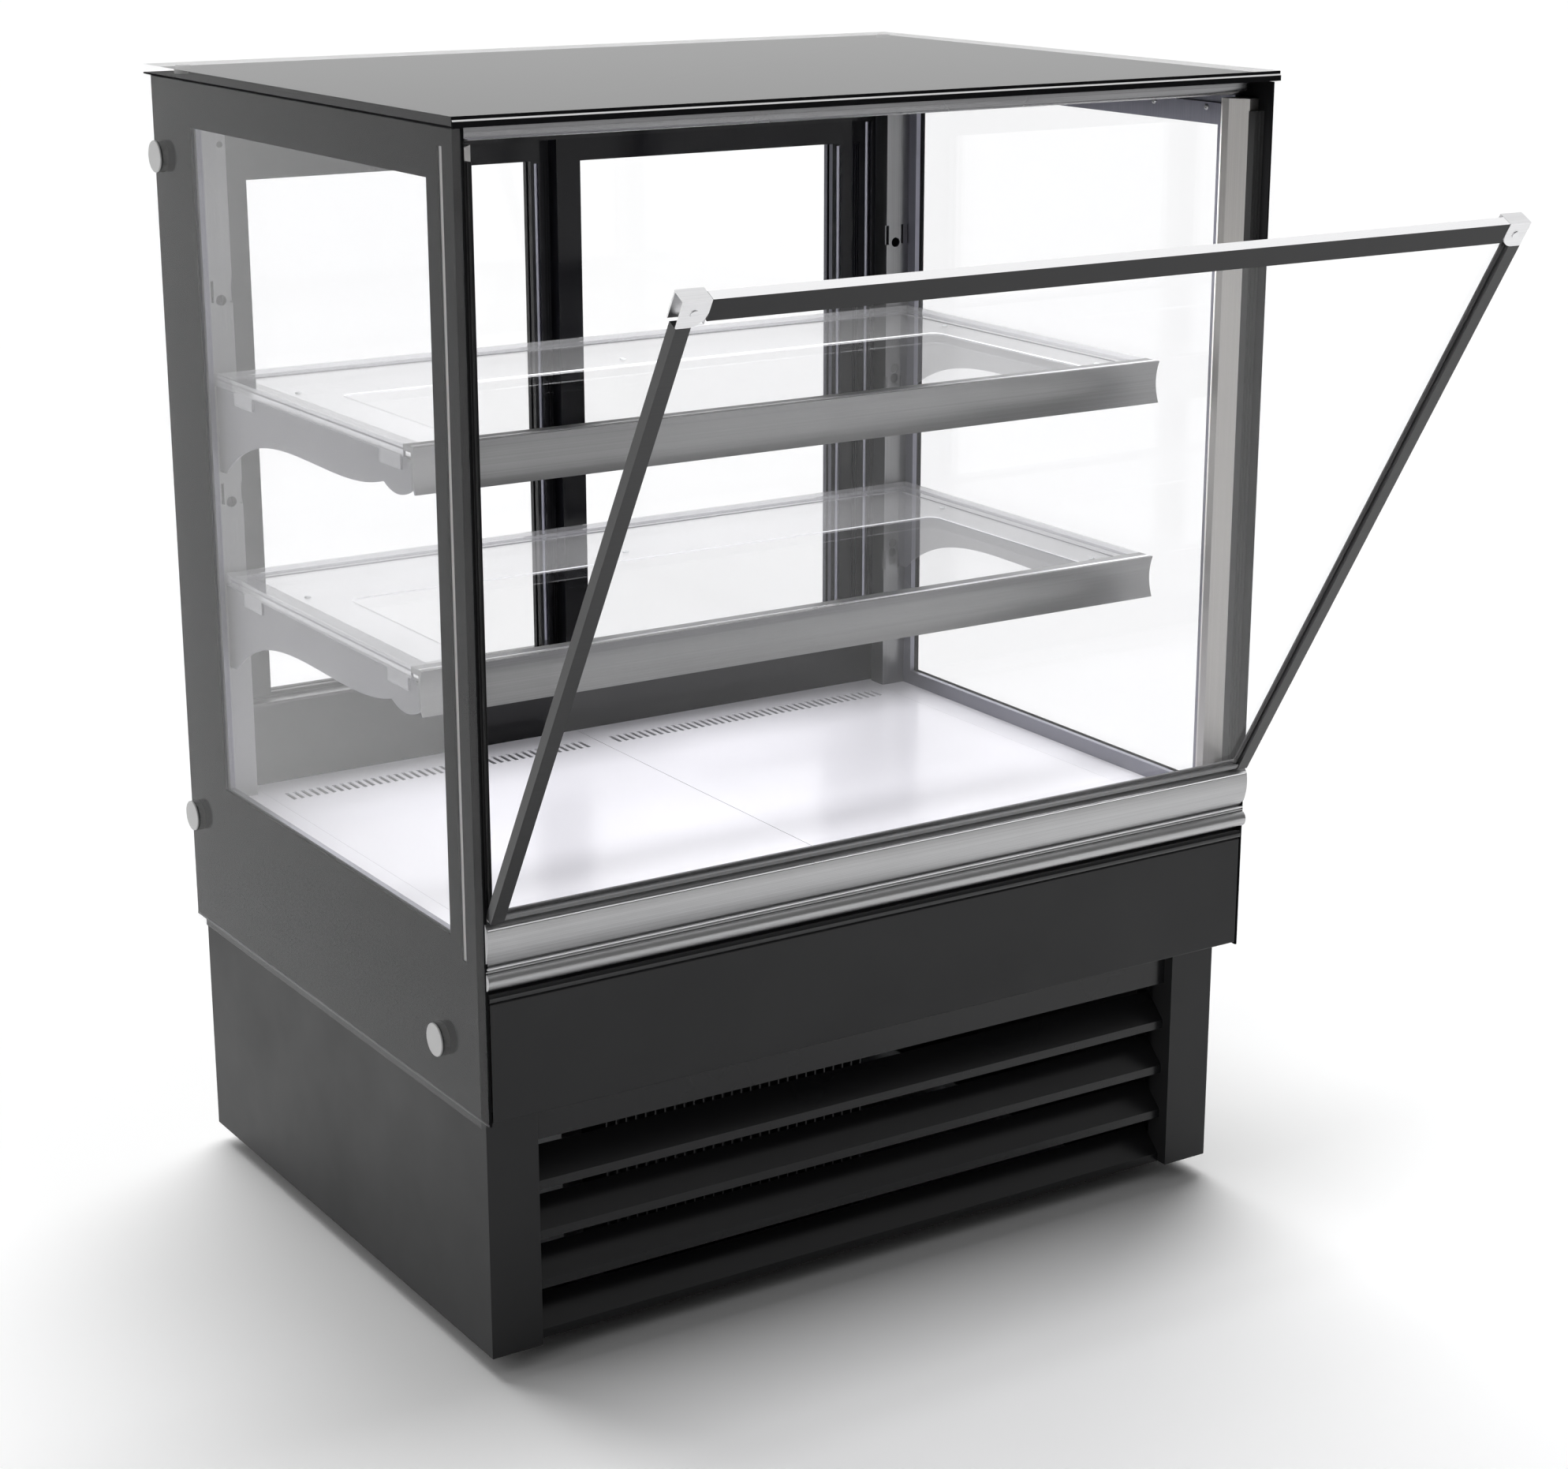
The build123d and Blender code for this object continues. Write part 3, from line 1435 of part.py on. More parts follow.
def fan(hub_back, radius):
    """A fan on the plane of its hub's back: a bored hub and pitched blades in one piece."""
    hub_radius = radius * fan_hub_share
    blade_length = radius - hub_radius + shaft_radius
    blade_width = min(radius * blade_width_share, fan_hub_height / sin(radians(blade_pitch)))
    with BuildSketch(hub_back) as hub:
        Circle(hub_radius)
    extrude(hub.sketch, amount=fan_hub_height)
    with Locations(hub_back.offset(fan_hub_height / 2).location):
        with PolarLocations(radius - blade_length / 2, fan_blades):
            Box(blade_length, blade_width, blade_thickness, rotation=(blade_pitch, 0, 0))
    with BuildSketch(hub_back) as bore:
        Circle(shaft_radius + shaft_gap)
    extrude(bore.sketch, amount=fan_hub_height, mode=Mode.SUBTRACT)


def fan_motor(face, radius, shaft):
    """A round motor behind the plane of its face, with its shaft in front of it."""
    with BuildSketch(face) as pin:
        Circle(shaft_radius)
    extrude(pin.sketch, amount=shaft)
    with BuildSketch(face) as body:
        Circle(radius)
    extrude(body.sketch, amount=-motor_length)
    with BuildSketch(face.offset(-motor_length)) as end_cap:
        Circle(radius * motor_cap_share)
    extrude(end_cap.sketch, amount=-motor_length / 6)


fan_level = coil_bottom + evaporator_fan_radius + fan_ring_gap + fan_plate_sheet * 2
fan_plate_top = pan_bottom - clearance - deck_thickness
fan_front = fan_plate_depth + fan_plate_sheet
hub_front = fan_front + fan_gap
hub_back = hub_front + fan_hub_height
arm_front = hub_back + fan_gap
arm_back = arm_front + fan_plate_sheet
arm_half = evaporator_fan_radius + arm_margin
with BuildPart() as fan_plate:
    plate_span = (clearance - tank_inner, tank_inner - clearance)
    block(plate_span, (fan_plate_depth, fan_front), (coil_bottom, fan_plate_top))
    block(plate_span, (fan_front, fan_front + fan_plate_fold), (coil_bottom, coil_bottom + fan_plate_sheet))
    for side in sides.values():
        fan_x = side * evaporator_fan_offset
        with BuildSketch(facing_front(fan_x, fan_front, fan_level)) as mouth:
            Circle(evaporator_fan_radius + fan_ring_gap)
        extrude(mouth.sketch, amount=fan_plate_sheet, mode=Mode.SUBTRACT)
        for end in (-1, 1):
            leg = span(1, fan_x + end * arm_half, fan_x + end * (arm_half - fan_plate_sheet))
            block(leg, (fan_front, arm_back), (fan_level - arm_width / 2, fan_level + arm_width / 2))
        block(
            (fan_x - arm_half, fan_x + arm_half),
            (arm_front, arm_back),
            (fan_level - arm_width / 2, fan_level + arm_width / 2),
        )
        with BuildSketch(facing_front(fan_x, arm_back, fan_level)) as shaft_hole:
            Circle(shaft_radius + clearance)
        extrude(shaft_hole.sketch, amount=fan_plate_sheet, mode=Mode.SUBTRACT)
save(fan_plate, "fan_plate")

for name, side in sides.items():
    with BuildPart() as evaporator_fan:
        fan(facing_front(side * evaporator_fan_offset, hub_back, fan_level), evaporator_fan_radius)
    save(evaporator_fan, f"evaporator_fan_{name}")

# Condensing unit: base tray, compressor, finned condenser and its shroud
unit_floor = plinth_sheet
unit_level = unit_floor + unit_sheet
unit_half_width = plinth_half - unit_side_gap
unit_rear = case_depth - unit_rear_margin
with BuildPart() as unit_base:
    block((-unit_half_width, unit_half_width), (unit_front, unit_rear), (unit_floor, unit_floor + unit_lip))
    block(
        (unit_sheet - unit_half_width, unit_half_width - unit_sheet),
        (unit_front + unit_sheet, unit_rear - unit_sheet),
        (unit_level, unit_floor + unit_lip),
        mode=Mode.SUBTRACT,
    )
save(unit_base, "unit_base")

pot_bottom = unit_level + compressor_foot
pot_top = pot_bottom + compressor_height
with BuildPart() as compressor:
    pot_side = compressor_x + compressor_radius
    with BuildSketch(Plane.XZ.offset(-y(compressor_depth))) as half_pot:
        with BuildLine():
            Polyline(
                (compressor_x, z(pot_bottom)),
                (pot_side - pot_bevel, z(pot_bottom)),
                (pot_side, z(pot_bottom + pot_bevel)),
                (pot_side, z(pot_top - pot_crown)),
                (pot_side - pot_crown / 4, z(pot_top - pot_crown / 2)),
                (pot_side - pot_crown, z(pot_top)),
                (compressor_x, z(pot_top)),
                close=True,
            )
        make_face()
    revolve(half_pot.sketch, axis=Axis((compressor_x, y(compressor_depth), 0), (0, 0, 1)))
    with BuildSketch(Plane.XY.offset(z(pot_bottom))) as foot_plate:
        with Locations((compressor_x, y(compressor_depth))):
            RectangleRounded(foot_plate_length, foot_plate_width, compressor_foot)
    extrude(foot_plate.sketch, amount=-foot_plate_thickness)
    with BuildSketch(Plane.XY.offset(z(unit_level))) as buffers:
        with Locations((compressor_x, y(compressor_depth))):
            with GridLocations(buffer_pitch_x, buffer_pitch_y, 2, 2):
                Circle(buffer_radius)
    extrude(buffers.sketch, amount=compressor_foot - foot_plate_thickness)
save(compressor, "compressor")

condenser_back = condenser_front + condenser_depth
condenser_low = condenser_x - condenser_half_width
condenser_high = condenser_x + condenser_half_width
condenser_top = unit_level + condenser_height
with BuildPart() as condenser:
    block(
        (condenser_low, condenser_high),
        (condenser_front + condenser_depth / 4, condenser_back - condenser_depth / 4),
        (unit_level, condenser_top),
    )
    condenser_fin_pitch = (2 * condenser_half_width - coil_fin_thickness) / (condenser_fins - 1)
    with BuildSketch(Plane.XY.offset(z(unit_level))) as fins:
        with Locations((condenser_x, y((condenser_front + condenser_back) / 2))):
            with GridLocations(condenser_fin_pitch, 0, condenser_fins, 1):
                Rectangle(coil_fin_thickness, condenser_depth)
    extrude(fins.sketch, amount=condenser_height)
save(condenser, "condenser")

shroud_back = condenser_back + shroud_depth
fan_centre = (unit_level + condenser_top) / 2
shroud_arm_back = shroud_back + shroud_arm
with BuildPart() as fan_shroud:
    block((condenser_low, condenser_high), (condenser_back, shroud_back), (unit_level, condenser_top))
    block(
        (condenser_low + shroud_sheet, condenser_high - shroud_sheet),
        (condenser_back, shroud_back - shroud_sheet),
        (unit_level + shroud_sheet, condenser_top - shroud_sheet),
        mode=Mode.SUBTRACT,
    )
    with BuildSketch(facing_front(condenser_x, shroud_back, fan_centre)) as mouth:
        Circle(condenser_fan_radius + fan_ring_gap)
    extrude(mouth.sketch, amount=shroud_sheet, mode=Mode.SUBTRACT)
    with BuildSketch(facing_front(condenser_x, shroud_arm_back, fan_centre)) as arm:
        Rectangle(2 * (condenser_half_width - shroud_depth / 2), 2 * arm_width)
        Circle(shaft_radius + clearance, mode=Mode.SUBTRACT)
    extrude(arm.sketch, amount=shroud_arm)
save(fan_shroud, "fan_shroud")

condenser_hub_back = shroud_back - fan_gap
with BuildPart() as condenser_fan:
    fan(facing_front(condenser_x, condenser_hub_back, fan_centre), condenser_fan_radius)
save(condenser_fan, "condenser_fan")

with BuildPart() as fan_motors:
    for side in sides.values():
        face = facing_front(side * evaporator_fan_offset, arm_back, fan_level)
        fan_motor(face, evaporator_motor_radius, arm_back - hub_front)
    face = facing_front(condenser_x, shroud_arm_back, fan_centre)
    fan_motor(face, condenser_motor_radius, shroud_arm_back - condenser_hub_back + fan_hub_height)
save(fan_motors, "fan_motors")

# Drain from the tank's floor, and the tray under it where the water evaporates
with BuildPart() as drain_pipe:
    with BuildSketch(Plane.XY.offset(z(tray_wall + drain_end))) as tube:
        with Locations((0, y(drain_depth))):
            Circle(drain_radius)
            Circle(drain_radius - drain_wall, mode=Mode.SUBTRACT)
    extrude(tube.sketch, amount=coil_bottom - tray_wall - drain_end)
    with BuildSketch(Plane.XY.offset(z(coil_bottom))) as flange:
        with Locations((0, y(drain_depth))):
            Circle(drain_radius + drain_flange)
            Circle(drain_radius - drain_wall, mode=Mode.SUBTRACT)
    extrude(flange.sketch, amount=drain_wall)
save(drain_pipe, "drain_pipe")

tray_front = case_depth - tray_rear_margin
with BuildPart() as drip_tray:
    with BuildSketch(Plane.XY.offset(z(plinth_sheet))) as outline:
        with Locations((0, y(tray_front + tray_depth / 2))):
            RectangleRounded(2 * tray_half_width, tray_depth, 4 * tray_wall)
    extrude(outline.sketch, amount=tray_height)
    offset(amount=-tray_wall, openings=drip_tray.faces().sort_by(Axis.Z)[-1])
save(drip_tray, "drip_tray")

# Controller and switch housings in the back of the rear wall
housing_front = rear_wall_back - controller_body
bezel_back = rear_wall_back + bezel_thickness
key_row = [controller_x + key_first + key_pitch * index for index in range(keys)]
key_level = panel_level - key_drop
well_depth = key_stem + key_travel + clearance


def housing(centre_x, width, height):
    """A body that fills its seat in the rear wall, with a bezel outside."""
    block(
        (centre_x - width / 2 + clearance, centre_x + width / 2 - clearance),
        (housing_front, rear_wall_back),
        (panel_level - height / 2 + clearance, panel_level + height / 2 - clearance),
    )
    block(
        (centre_x - width / 2 - bezel_lip, centre_x + width / 2 + bezel_lip),
        (rear_wall_back, bezel_back),
        (panel_level - height / 2 - bezel_lip, panel_level + height / 2 + bezel_lip),
    )


pivot_depth = bezel_back - rocker_depth
window_half = switch_width / 2 - switch_wall
with BuildPart() as control_housings:
    housing(controller_x, controller_width, controller_height)
    for key_x in key_row:
        block(
            (key_x - key_width / 2 - clearance, key_x + key_width / 2 + clearance),
            (bezel_back - well_depth, bezel_back),
            (key_level - key_height / 2 - clearance, key_level + key_height / 2 + clearance),
            mode=Mode.SUBTRACT,
        )
    for switch_at in switches.values():
        housing(switch_at, switch_width, switch_height)
        block(
            (switch_at - window_half, switch_at + window_half),
            (bezel_back - rocker_well, bezel_back),
            (panel_level - rocker_half - switch_gap, panel_level + rocker_half + switch_gap),
            mode=Mode.SUBTRACT,
        )
        with BuildSketch(Plane.YZ.offset(switch_at - window_half - pivot_length - clearance)) as bearing:
            with Locations((y(pivot_depth), z(panel_level))):
                Circle(pivot_radius + shaft_gap)
        extrude(bearing.sketch, amount=2 * (window_half + pivot_length + clearance), mode=Mode.SUBTRACT)
save(control_housings, "control_housings")

for index, key_x in enumerate(key_row):
    with BuildPart() as key:
        block(
            (key_x - key_width / 2, key_x + key_width / 2),
            (bezel_back - key_stem, bezel_back + key_proud),
            (key_level - key_height / 2, key_level + key_height / 2),
        )
        chamfer(key.faces().sort_by(Axis.Y)[-1].edges(), length=key_proud / 3)
    save(key, f"controller_key_{index + 1}")

# Rockers of the power and light switches, tilted to their off side
for name, switch_at in switches.items():
    reach = window_half - switch_gap
    pivot_point = (switch_at - reach, y(pivot_depth), z(panel_level))
    pivot = Plane(origin=pivot_point, x_dir=(0, 1, 0), z_dir=(1, 0, 0))
    with BuildPart() as rocker:
        with BuildSketch(pivot.rotated((0, 0, -rocker_tilt))) as rocker_face:
            with BuildLine():
                Polyline(
                    (-rocker_depth / 2, rocker_edge - rocker_half),
                    (rocker_depth, -rocker_half),
                    (rocker_depth - rocker_dish, 0),
                    (rocker_depth, rocker_half),
                    (-rocker_depth / 2, rocker_half - rocker_edge),
                    close=True,
                )
            make_face()
        extrude(rocker_face.sketch, amount=2 * reach)
        with BuildSketch(Plane.YZ.offset(switch_at - window_half - pivot_length)) as axle:
            with Locations((y(pivot_depth), z(panel_level))):
                Circle(pivot_radius)
        extrude(axle.sketch, amount=2 * (window_half + pivot_length))
    save(rocker, f"{name}_rocker")
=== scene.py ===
# %% [markdown]
# The refrigerated display case
#
# The case stands on the floor with its front glass tilted open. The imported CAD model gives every
# piece its shape and its place, so this file adds what CAD leaves out: the camera, the studio,
# the finishes and the small repeated things. Everything is in metres, in the frame of the CAD
# model.

import math

import bmesh
import bpy
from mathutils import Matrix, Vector


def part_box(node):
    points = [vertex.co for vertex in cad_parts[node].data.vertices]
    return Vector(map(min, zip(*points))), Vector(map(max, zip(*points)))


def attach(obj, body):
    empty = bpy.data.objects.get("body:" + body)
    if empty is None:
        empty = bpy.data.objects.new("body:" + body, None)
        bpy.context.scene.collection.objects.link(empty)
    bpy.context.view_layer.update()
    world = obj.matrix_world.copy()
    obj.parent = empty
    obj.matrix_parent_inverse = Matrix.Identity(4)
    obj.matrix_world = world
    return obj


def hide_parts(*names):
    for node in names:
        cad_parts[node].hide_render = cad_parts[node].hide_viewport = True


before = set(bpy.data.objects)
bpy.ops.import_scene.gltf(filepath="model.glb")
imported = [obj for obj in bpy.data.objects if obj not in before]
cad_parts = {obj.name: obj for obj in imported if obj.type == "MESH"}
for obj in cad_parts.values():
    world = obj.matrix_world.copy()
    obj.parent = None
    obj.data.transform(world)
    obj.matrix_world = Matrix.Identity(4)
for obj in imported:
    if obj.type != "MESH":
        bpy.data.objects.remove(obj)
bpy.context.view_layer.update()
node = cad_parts

# %% [markdown]
# The camera
#
# The photograph was taken from the front left and a little above. Its place was worked out from
# the corners of the top, the plinth and the sill. A long lens keeps the upright edges nearly
# parallel, so the focal length comes from the same fit, in pixels of the whole photograph.

# %% Camera at the photograph's place


def new_object(name, data):
    """An object that holds a mesh, a lamp or the camera, linked to the scene."""
    made = bpy.data.objects.new(name, data)
    bpy.context.scene.collection.objects.link(made)
    return made


photo_width = 1988
focal_pixels = 3912.5
sensor_millimetres = 36.0
view_reach = 200.0
camera_pitch = math.radians(90 - 16.518)
camera_heading = math.radians(-32.667)

camera_data = bpy.data.cameras.new("photo_camera")
camera_data.sensor_width = sensor_millimetres
camera_data.lens = focal_pixels * sensor_millimetres / photo_width
camera_data.clip_end = view_reach
camera = new_object("photo_camera", camera_data)
camera.location = (-1.61227, -2.48486, 1.40687)
camera.rotation_euler = (camera_pitch, 0.0, camera_heading)
bpy.context.scene.camera = camera
print("lens in millimetres:", round(camera_data.lens, 2))

# %% [markdown]
# Helpers for materials
#
# Every finish here starts from one Principled shader. A short helper makes the material and sets
# the plain numbers on the shader's own sockets, so that each finish below only says what is
# special. The other helpers add a node, link nodes by the names of their sockets, and dress CAD
# nodes.

# %% Material helpers


def new_finish(name, base, roughness, metallic=0.0, **extra):
    """A material with one Principled shader, its plain numbers set on the shader's sockets."""
    finish = bpy.data.materials.new(name)
    finish.use_nodes = True
    shader = finish.node_tree.nodes["Principled BSDF"]
    shader.inputs["Base Color"].default_value = (*base, 1.0)
    shader.inputs["Roughness"].default_value = roughness
    shader.inputs["Metallic"].default_value = metallic
    for socket, value in extra.items():
        shader.inputs[socket.replace("_", " ")].default_value = value
    return finish, shader


def add(tree, kind, **sockets):
    """A node in a tree, with its plain input values set by name."""
    made = tree.nodes.new(kind)
    for socket, value in sockets.items():
        made.inputs[socket.replace("_", " ")].default_value = value
    return made


def join(tree, *links):
    """Link nodes, each link given as source node, output, target node, input."""
    for source, output, target, socket in links:
        tree.links.new(source.outputs[output], target.inputs[socket])


def combine(tree, operation, first, second):
    """One number made of two by a math operation."""
    made = tree.nodes.new("ShaderNodeMath")
    made.operation = operation
    tree.links.new(first, made.inputs[0])
    tree.links.new(second, made.inputs[1])
    return made.outputs["Value"]


def paint(names, finish):
    """Give CAD nodes one finish in place of the one they came with."""
    for name in names:
        node[name].data.materials.clear()
        node[name].data.materials.append(finish)
    print(finish.name, "on", ", ".join(names))


# %% [markdown]
# Effects that several finishes share
#
# Powder paint has a fine orange-peel grain. Brushed metal has short lines along the way it was
# brushed. Both are patterns of height, so each is a node group that puts out a height and a
# colour factor, and each material places the group with its own scale. Handling leaves faint
# smears, which show as slow changes of roughness, and that is a third group. A fourth tells which
# faces look one way, for profiles that are painted on one side only.

# %% Shared groups: grain, brushing, handling marks and facing


def new_group(name, inputs, outputs):
    """A shader group with named float inputs and outputs."""
    tree = bpy.data.node_groups.new(name, "ShaderNodeTree")
    for label, value in inputs.items():
        socket = tree.interface.new_socket(label, in_out="INPUT", socket_type="NodeSocketFloat")
        socket.default_value = value
    for label in outputs:
        tree.interface.new_socket(label, in_out="OUTPUT", socket_type="NodeSocketFloat")
    return tree, tree.nodes.new("NodeGroupInput"), tree.nodes.new("NodeGroupOutput")


noise_low, noise_high = 0.3, 0.7


def spread(tree, noise):
    """Stretch the middle of a noise, where nearly all of it lies, to run from 0 to 1."""
    ramp = add(tree, "ShaderNodeMapRange", From_Min=noise_low, From_Max=noise_high)
    tree.links.new(noise.outputs["Fac"], ramp.inputs["Value"])
    return ramp.outputs["Result"]


grain, grain_in, grain_out = new_group("paint_grain", {"Scale": 900.0}, ["Height", "Shade"])
grain_place = grain.nodes.new("ShaderNodeTexCoord")
grain_fine = add(grain, "ShaderNodeTexNoise", Detail=2.0)
grain_slow = add(grain, "ShaderNodeTexNoise", Scale=6.0, Detail=3.0)
join(
    grain,
    (grain_place, "Object", grain_fine, "Vector"),
    (grain_place, "Object", grain_slow, "Vector"),
    (grain_in, "Scale", grain_fine, "Scale"),
)
grain.links.new(spread(grain, grain_fine), grain_out.inputs["Height"])
grain.links.new(spread(grain, grain_slow), grain_out.inputs["Shade"])

brush, brush_in, brush_out = new_group(
    "brushed_lines", {"Along X": 6.0, "Along Y": 900.0, "Along Z": 900.0}, ["Height", "Shade"]
)
brush_place = brush.nodes.new("ShaderNodeTexCoord")
brush_scale = brush.nodes.new("ShaderNodeCombineXYZ")
brush_stretch = brush.nodes.new("ShaderNodeVectorMath")
brush_stretch.operation = "MULTIPLY"
brush_noise = add(brush, "ShaderNodeTexNoise", Scale=1.0, Detail=2.0, Roughness=0.5)
join(brush, *((brush_in, f"Along {axis}", brush_scale, axis) for axis in "XYZ"))
join(
    brush,
    (brush_place, "Object", brush_stretch, 0),
    (brush_scale, "Vector", brush_stretch, 1),
    (brush_stretch, "Vector", brush_noise, "Vector"),
)
brush_lines = spread(brush, brush_noise)
for output in ("Height", "Shade"):
    brush.links.new(brush_lines, brush_out.inputs[output])

smears, smears_in, smears_out = new_group("handling_marks", {"Scale": 9.0}, ["Mask"])
smears_place = smears.nodes.new("ShaderNodeTexCoord")
smears_noise = add(smears, "ShaderNodeTexNoise", Detail=4.0, Roughness=0.55)
join(
    smears,
    (smears_place, "Object", smears_noise, "Vector"),
    (smears_in, "Scale", smears_noise, "Scale"),
)
smears.links.new(spread(smears, smears_noise), smears_out.inputs["Mask"])

facing, facing_in, facing_out = new_group(
    "facing_mask", {"Towards X": 0.0, "Towards Y": 0.0, "Towards Z": 1.0, "Edge": 0.8}, ["Mask"]
)
facing_place = facing.nodes.new("ShaderNodeTexCoord")
facing_aim = facing.nodes.new("ShaderNodeCombineXYZ")
facing_dot = facing.nodes.new("ShaderNodeVectorMath")
facing_dot.operation = "DOT_PRODUCT"
join(facing, *((facing_in, f"Towards {axis}", facing_aim, axis) for axis in "XYZ"))
join(facing, (facing_place, "Normal", facing_dot, 0), (facing_aim, "Vector", facing_dot, 1))
facing.links.new(
    combine(facing, "GREATER_THAN", facing_dot.outputs["Value"], facing_in.outputs["Edge"]),
    facing_out.inputs["Mask"],
)
print("shared groups:", [group.name for group in bpy.data.node_groups])

# %% [markdown]
# From a group to the shader
#
# A group only puts out numbers. Four helpers feed them to the shader: a height becomes a bump, a
# mask moves one number or the base colour between two values, and handling marks move the
# roughness. The Mix node has several sockets of the same name, so its colours are found by
# number.

# %% Helpers that place a group in a finish
mix_factor, mix_first, mix_second, mix_colour = 0, 6, 7, 2


def use_group(finish, group, **values):
    """Place a shared group in a material, with its own values."""
    placed = finish.node_tree.nodes.new("ShaderNodeGroup")
    placed.node_tree = group
    for label, value in values.items():
        placed.inputs[label.replace("_", " ")].default_value = value
    return placed


def bump_from(finish, shader, pattern, distance):
    """Feed a pattern's height to the shader's normal, in metres."""
    bump = add(finish.node_tree, "ShaderNodeBump", Strength=1.0, Distance=distance)
    join(
        finish.node_tree,
        (pattern, "Height", bump, "Height"),
        (bump, "Normal", shader, "Normal"),
    )


def vary(finish, source, target, low, high):
    """Let a mask move one number of the shader between two values."""
    tree = finish.node_tree
    ramp = add(tree, "ShaderNodeMapRange", To_Min=low, To_Max=high)
    tree.links.new(source, ramp.inputs["Value"])
    tree.links.new(ramp.outputs["Result"], target)


def shade(finish, shader, source, dark, light):
    """Let a mask move the base colour from one colour to another."""
    tree = finish.node_tree
    mix = tree.nodes.new("ShaderNodeMix")
    mix.data_type = "RGBA"
    mix.inputs[mix_first].default_value = (*dark, 1.0)
    mix.inputs[mix_second].default_value = (*light, 1.0)
    tree.links.new(source, mix.inputs[mix_factor])
    tree.links.new(mix.outputs[mix_colour], shader.inputs["Base Color"])


def handled(finish, shader, scale, low, high):
    """Handling marks: slow patches that move the roughness between two values."""
    marks = use_group(finish, smears, Scale=scale)
    vary(finish, marks.outputs["Mask"], shader.inputs["Roughness"], low, high)


# %% [markdown]
# Painted sheet steel
#
# The plinth, the louvre and the side walls are folded steel with a black powder coat. It is not
# quite smooth, so light spreads on it in a soft sheen. The side walls stand behind glass, which
# has a mirror of its own, so their paint is darker and without sheen. The deck pans are the same
# kind of sheet with a white gloss paint, and the brackets are a satin light grey.

# %% Powder coat and gloss paint


def powder_coat(name, dark, light, roughness, scale=700.0, peel=0.000002, **extra):
    """A sprayed paint: fine grain in the surface and slow, faint changes of tone."""
    finish, shader = new_finish(name, light, roughness, **extra)
    pattern = use_group(finish, grain, Scale=scale)
    bump_from(finish, shader, pattern, peel)
    shade(finish, shader, pattern.outputs["Shade"], dark, light)
    handled(finish, shader, 7.0, roughness * 0.88, roughness * 1.12)
    return finish


black_coat = powder_coat(
    "black_powder_coat", (0.028, 0.028, 0.029), (0.034, 0.034, 0.035), 0.42,
    Specular_IOR_Level=0.22,
)
paint(["plinth", "rear_grille", "front_fascia"], black_coat)
wall_coat = powder_coat(
    "black_wall_paint", (0.009, 0.009, 0.0095), (0.012, 0.012, 0.0125), 0.42,
    Specular_IOR_Level=0.0,
)
paint(["side_skins"], wall_coat)
louvre_coat = powder_coat(
    "black_louvre_paint", (0.010, 0.010, 0.011), (0.013, 0.013, 0.014), 0.24,
    Specular_IOR_Level=0.35,
)
paint(["louvre_panel", "condenser"], louvre_coat)

white_coat = powder_coat(
    "white_gloss_paint", (0.87, 0.86, 0.90), (0.90, 0.89, 0.93), 0.20, scale=260.0, peel=0.000004
)
paint(["deck_pans", "deck_strips", "return_air_grille"], white_coat)
grey_coat = powder_coat(
    "light_grey_paint", (0.23, 0.23, 0.25), (0.27, 0.27, 0.29), 0.36, peel=0.000003
)
paint(["brackets"], grey_coat)

# %% [markdown]
# Gloss black
#
# The trim under the sill, the rear wall, the frames at the back and the compressor are nearly
# black and as smooth as a mirror. What the eye sees on them is mostly the bright room, so the
# base stays dark and only the roughness is low. The thin sheet under the top glass is dark too,
# but the mirror there is that of the glass, so the sheet has none of its own. The bevel at its
# front is bright bare metal, a painted highlight along the front edge.

# %% Gloss black


def gloss_black(name, roughness, **extra):
    """A dark, mirror-smooth skin with faint wipe marks."""
    finish, shader = new_finish(name, (0.010, 0.010, 0.011), roughness, **extra)
    handled(finish, shader, 12.0, roughness * 0.7, roughness * 1.3)
    return finish


sheet_black = gloss_black("gloss_black_sheet", 0.07)
paint(["sill_trim", "compressor"], sheet_black)
panel_black = gloss_black("gloss_black_panel", 0.08, Specular_IOR_Level=0.28)
paint(["rear_wall"], panel_black)
rear_black = gloss_black("rear_gloss_black", 0.09, Specular_IOR_Level=0.18)
paint(["rear_frame", "rear_door_frame_left"], rear_black)

# %% The dark sheet under the top glass, with a bright bevel along its front as a painted highlight
# The bevel's bright bare metal is a painted highlight along the sheet's front edge.
sheet_tone, bevel_highlight_tone = (0.012, 0.012, 0.013), (0.85, 0.85, 0.86)
half_turned = 0.7071
sheet_dark, sheet_shader = new_finish("dark_top_sheet", sheet_tone, 0.5, Specular_IOR_Level=0.0)
bevel_highlight_mask = use_group(
    sheet_dark, facing, Towards_X=0.0, Towards_Y=-half_turned, Towards_Z=half_turned, Edge=0.9
)
shade(sheet_dark, sheet_shader, bevel_highlight_mask.outputs["Mask"], sheet_tone, bevel_highlight_tone)
vary(sheet_dark, bevel_highlight_mask.outputs["Mask"], sheet_shader.inputs["Metallic"], 0.0, 1.0)
handled(sheet_dark, sheet_shader, 12.0, 0.2, 0.26)
paint(["top_sheet"], sheet_dark)

# %% [markdown]
# Bare and anodised metal
#
# The sill is stainless steel, brushed along its length. The frames, rails and uprights are drawn
# aluminium: the window frames are a cool grey, the door's side bars are nearly black, the shelf
# rails, the uprights and the cornice are a satin grey, and the corner light housings are silver.
# Drawing leaves the same kind of lines as brushing, only fainter.

# %% Brushed and drawn metal
line_along, line_across = 1.2, 1100.0


def drawn_metal(name, dark, light, roughness, along="X", metallic=1.0):
    """Metal with fine lines along one axis of the case."""
    finish, shader = new_finish(name, light, roughness, metallic)
    scales = {f"Along_{axis}": (line_along if axis == along else line_across) for axis in "XYZ"}
    lines = use_group(finish, brush, **scales)
    bump_from(finish, shader, lines, 0.0000012)
    shade(finish, shader, lines.outputs["Shade"], dark, light)
    handled(finish, shader, 10.0, roughness * 0.9, roughness * 1.1)
    return finish


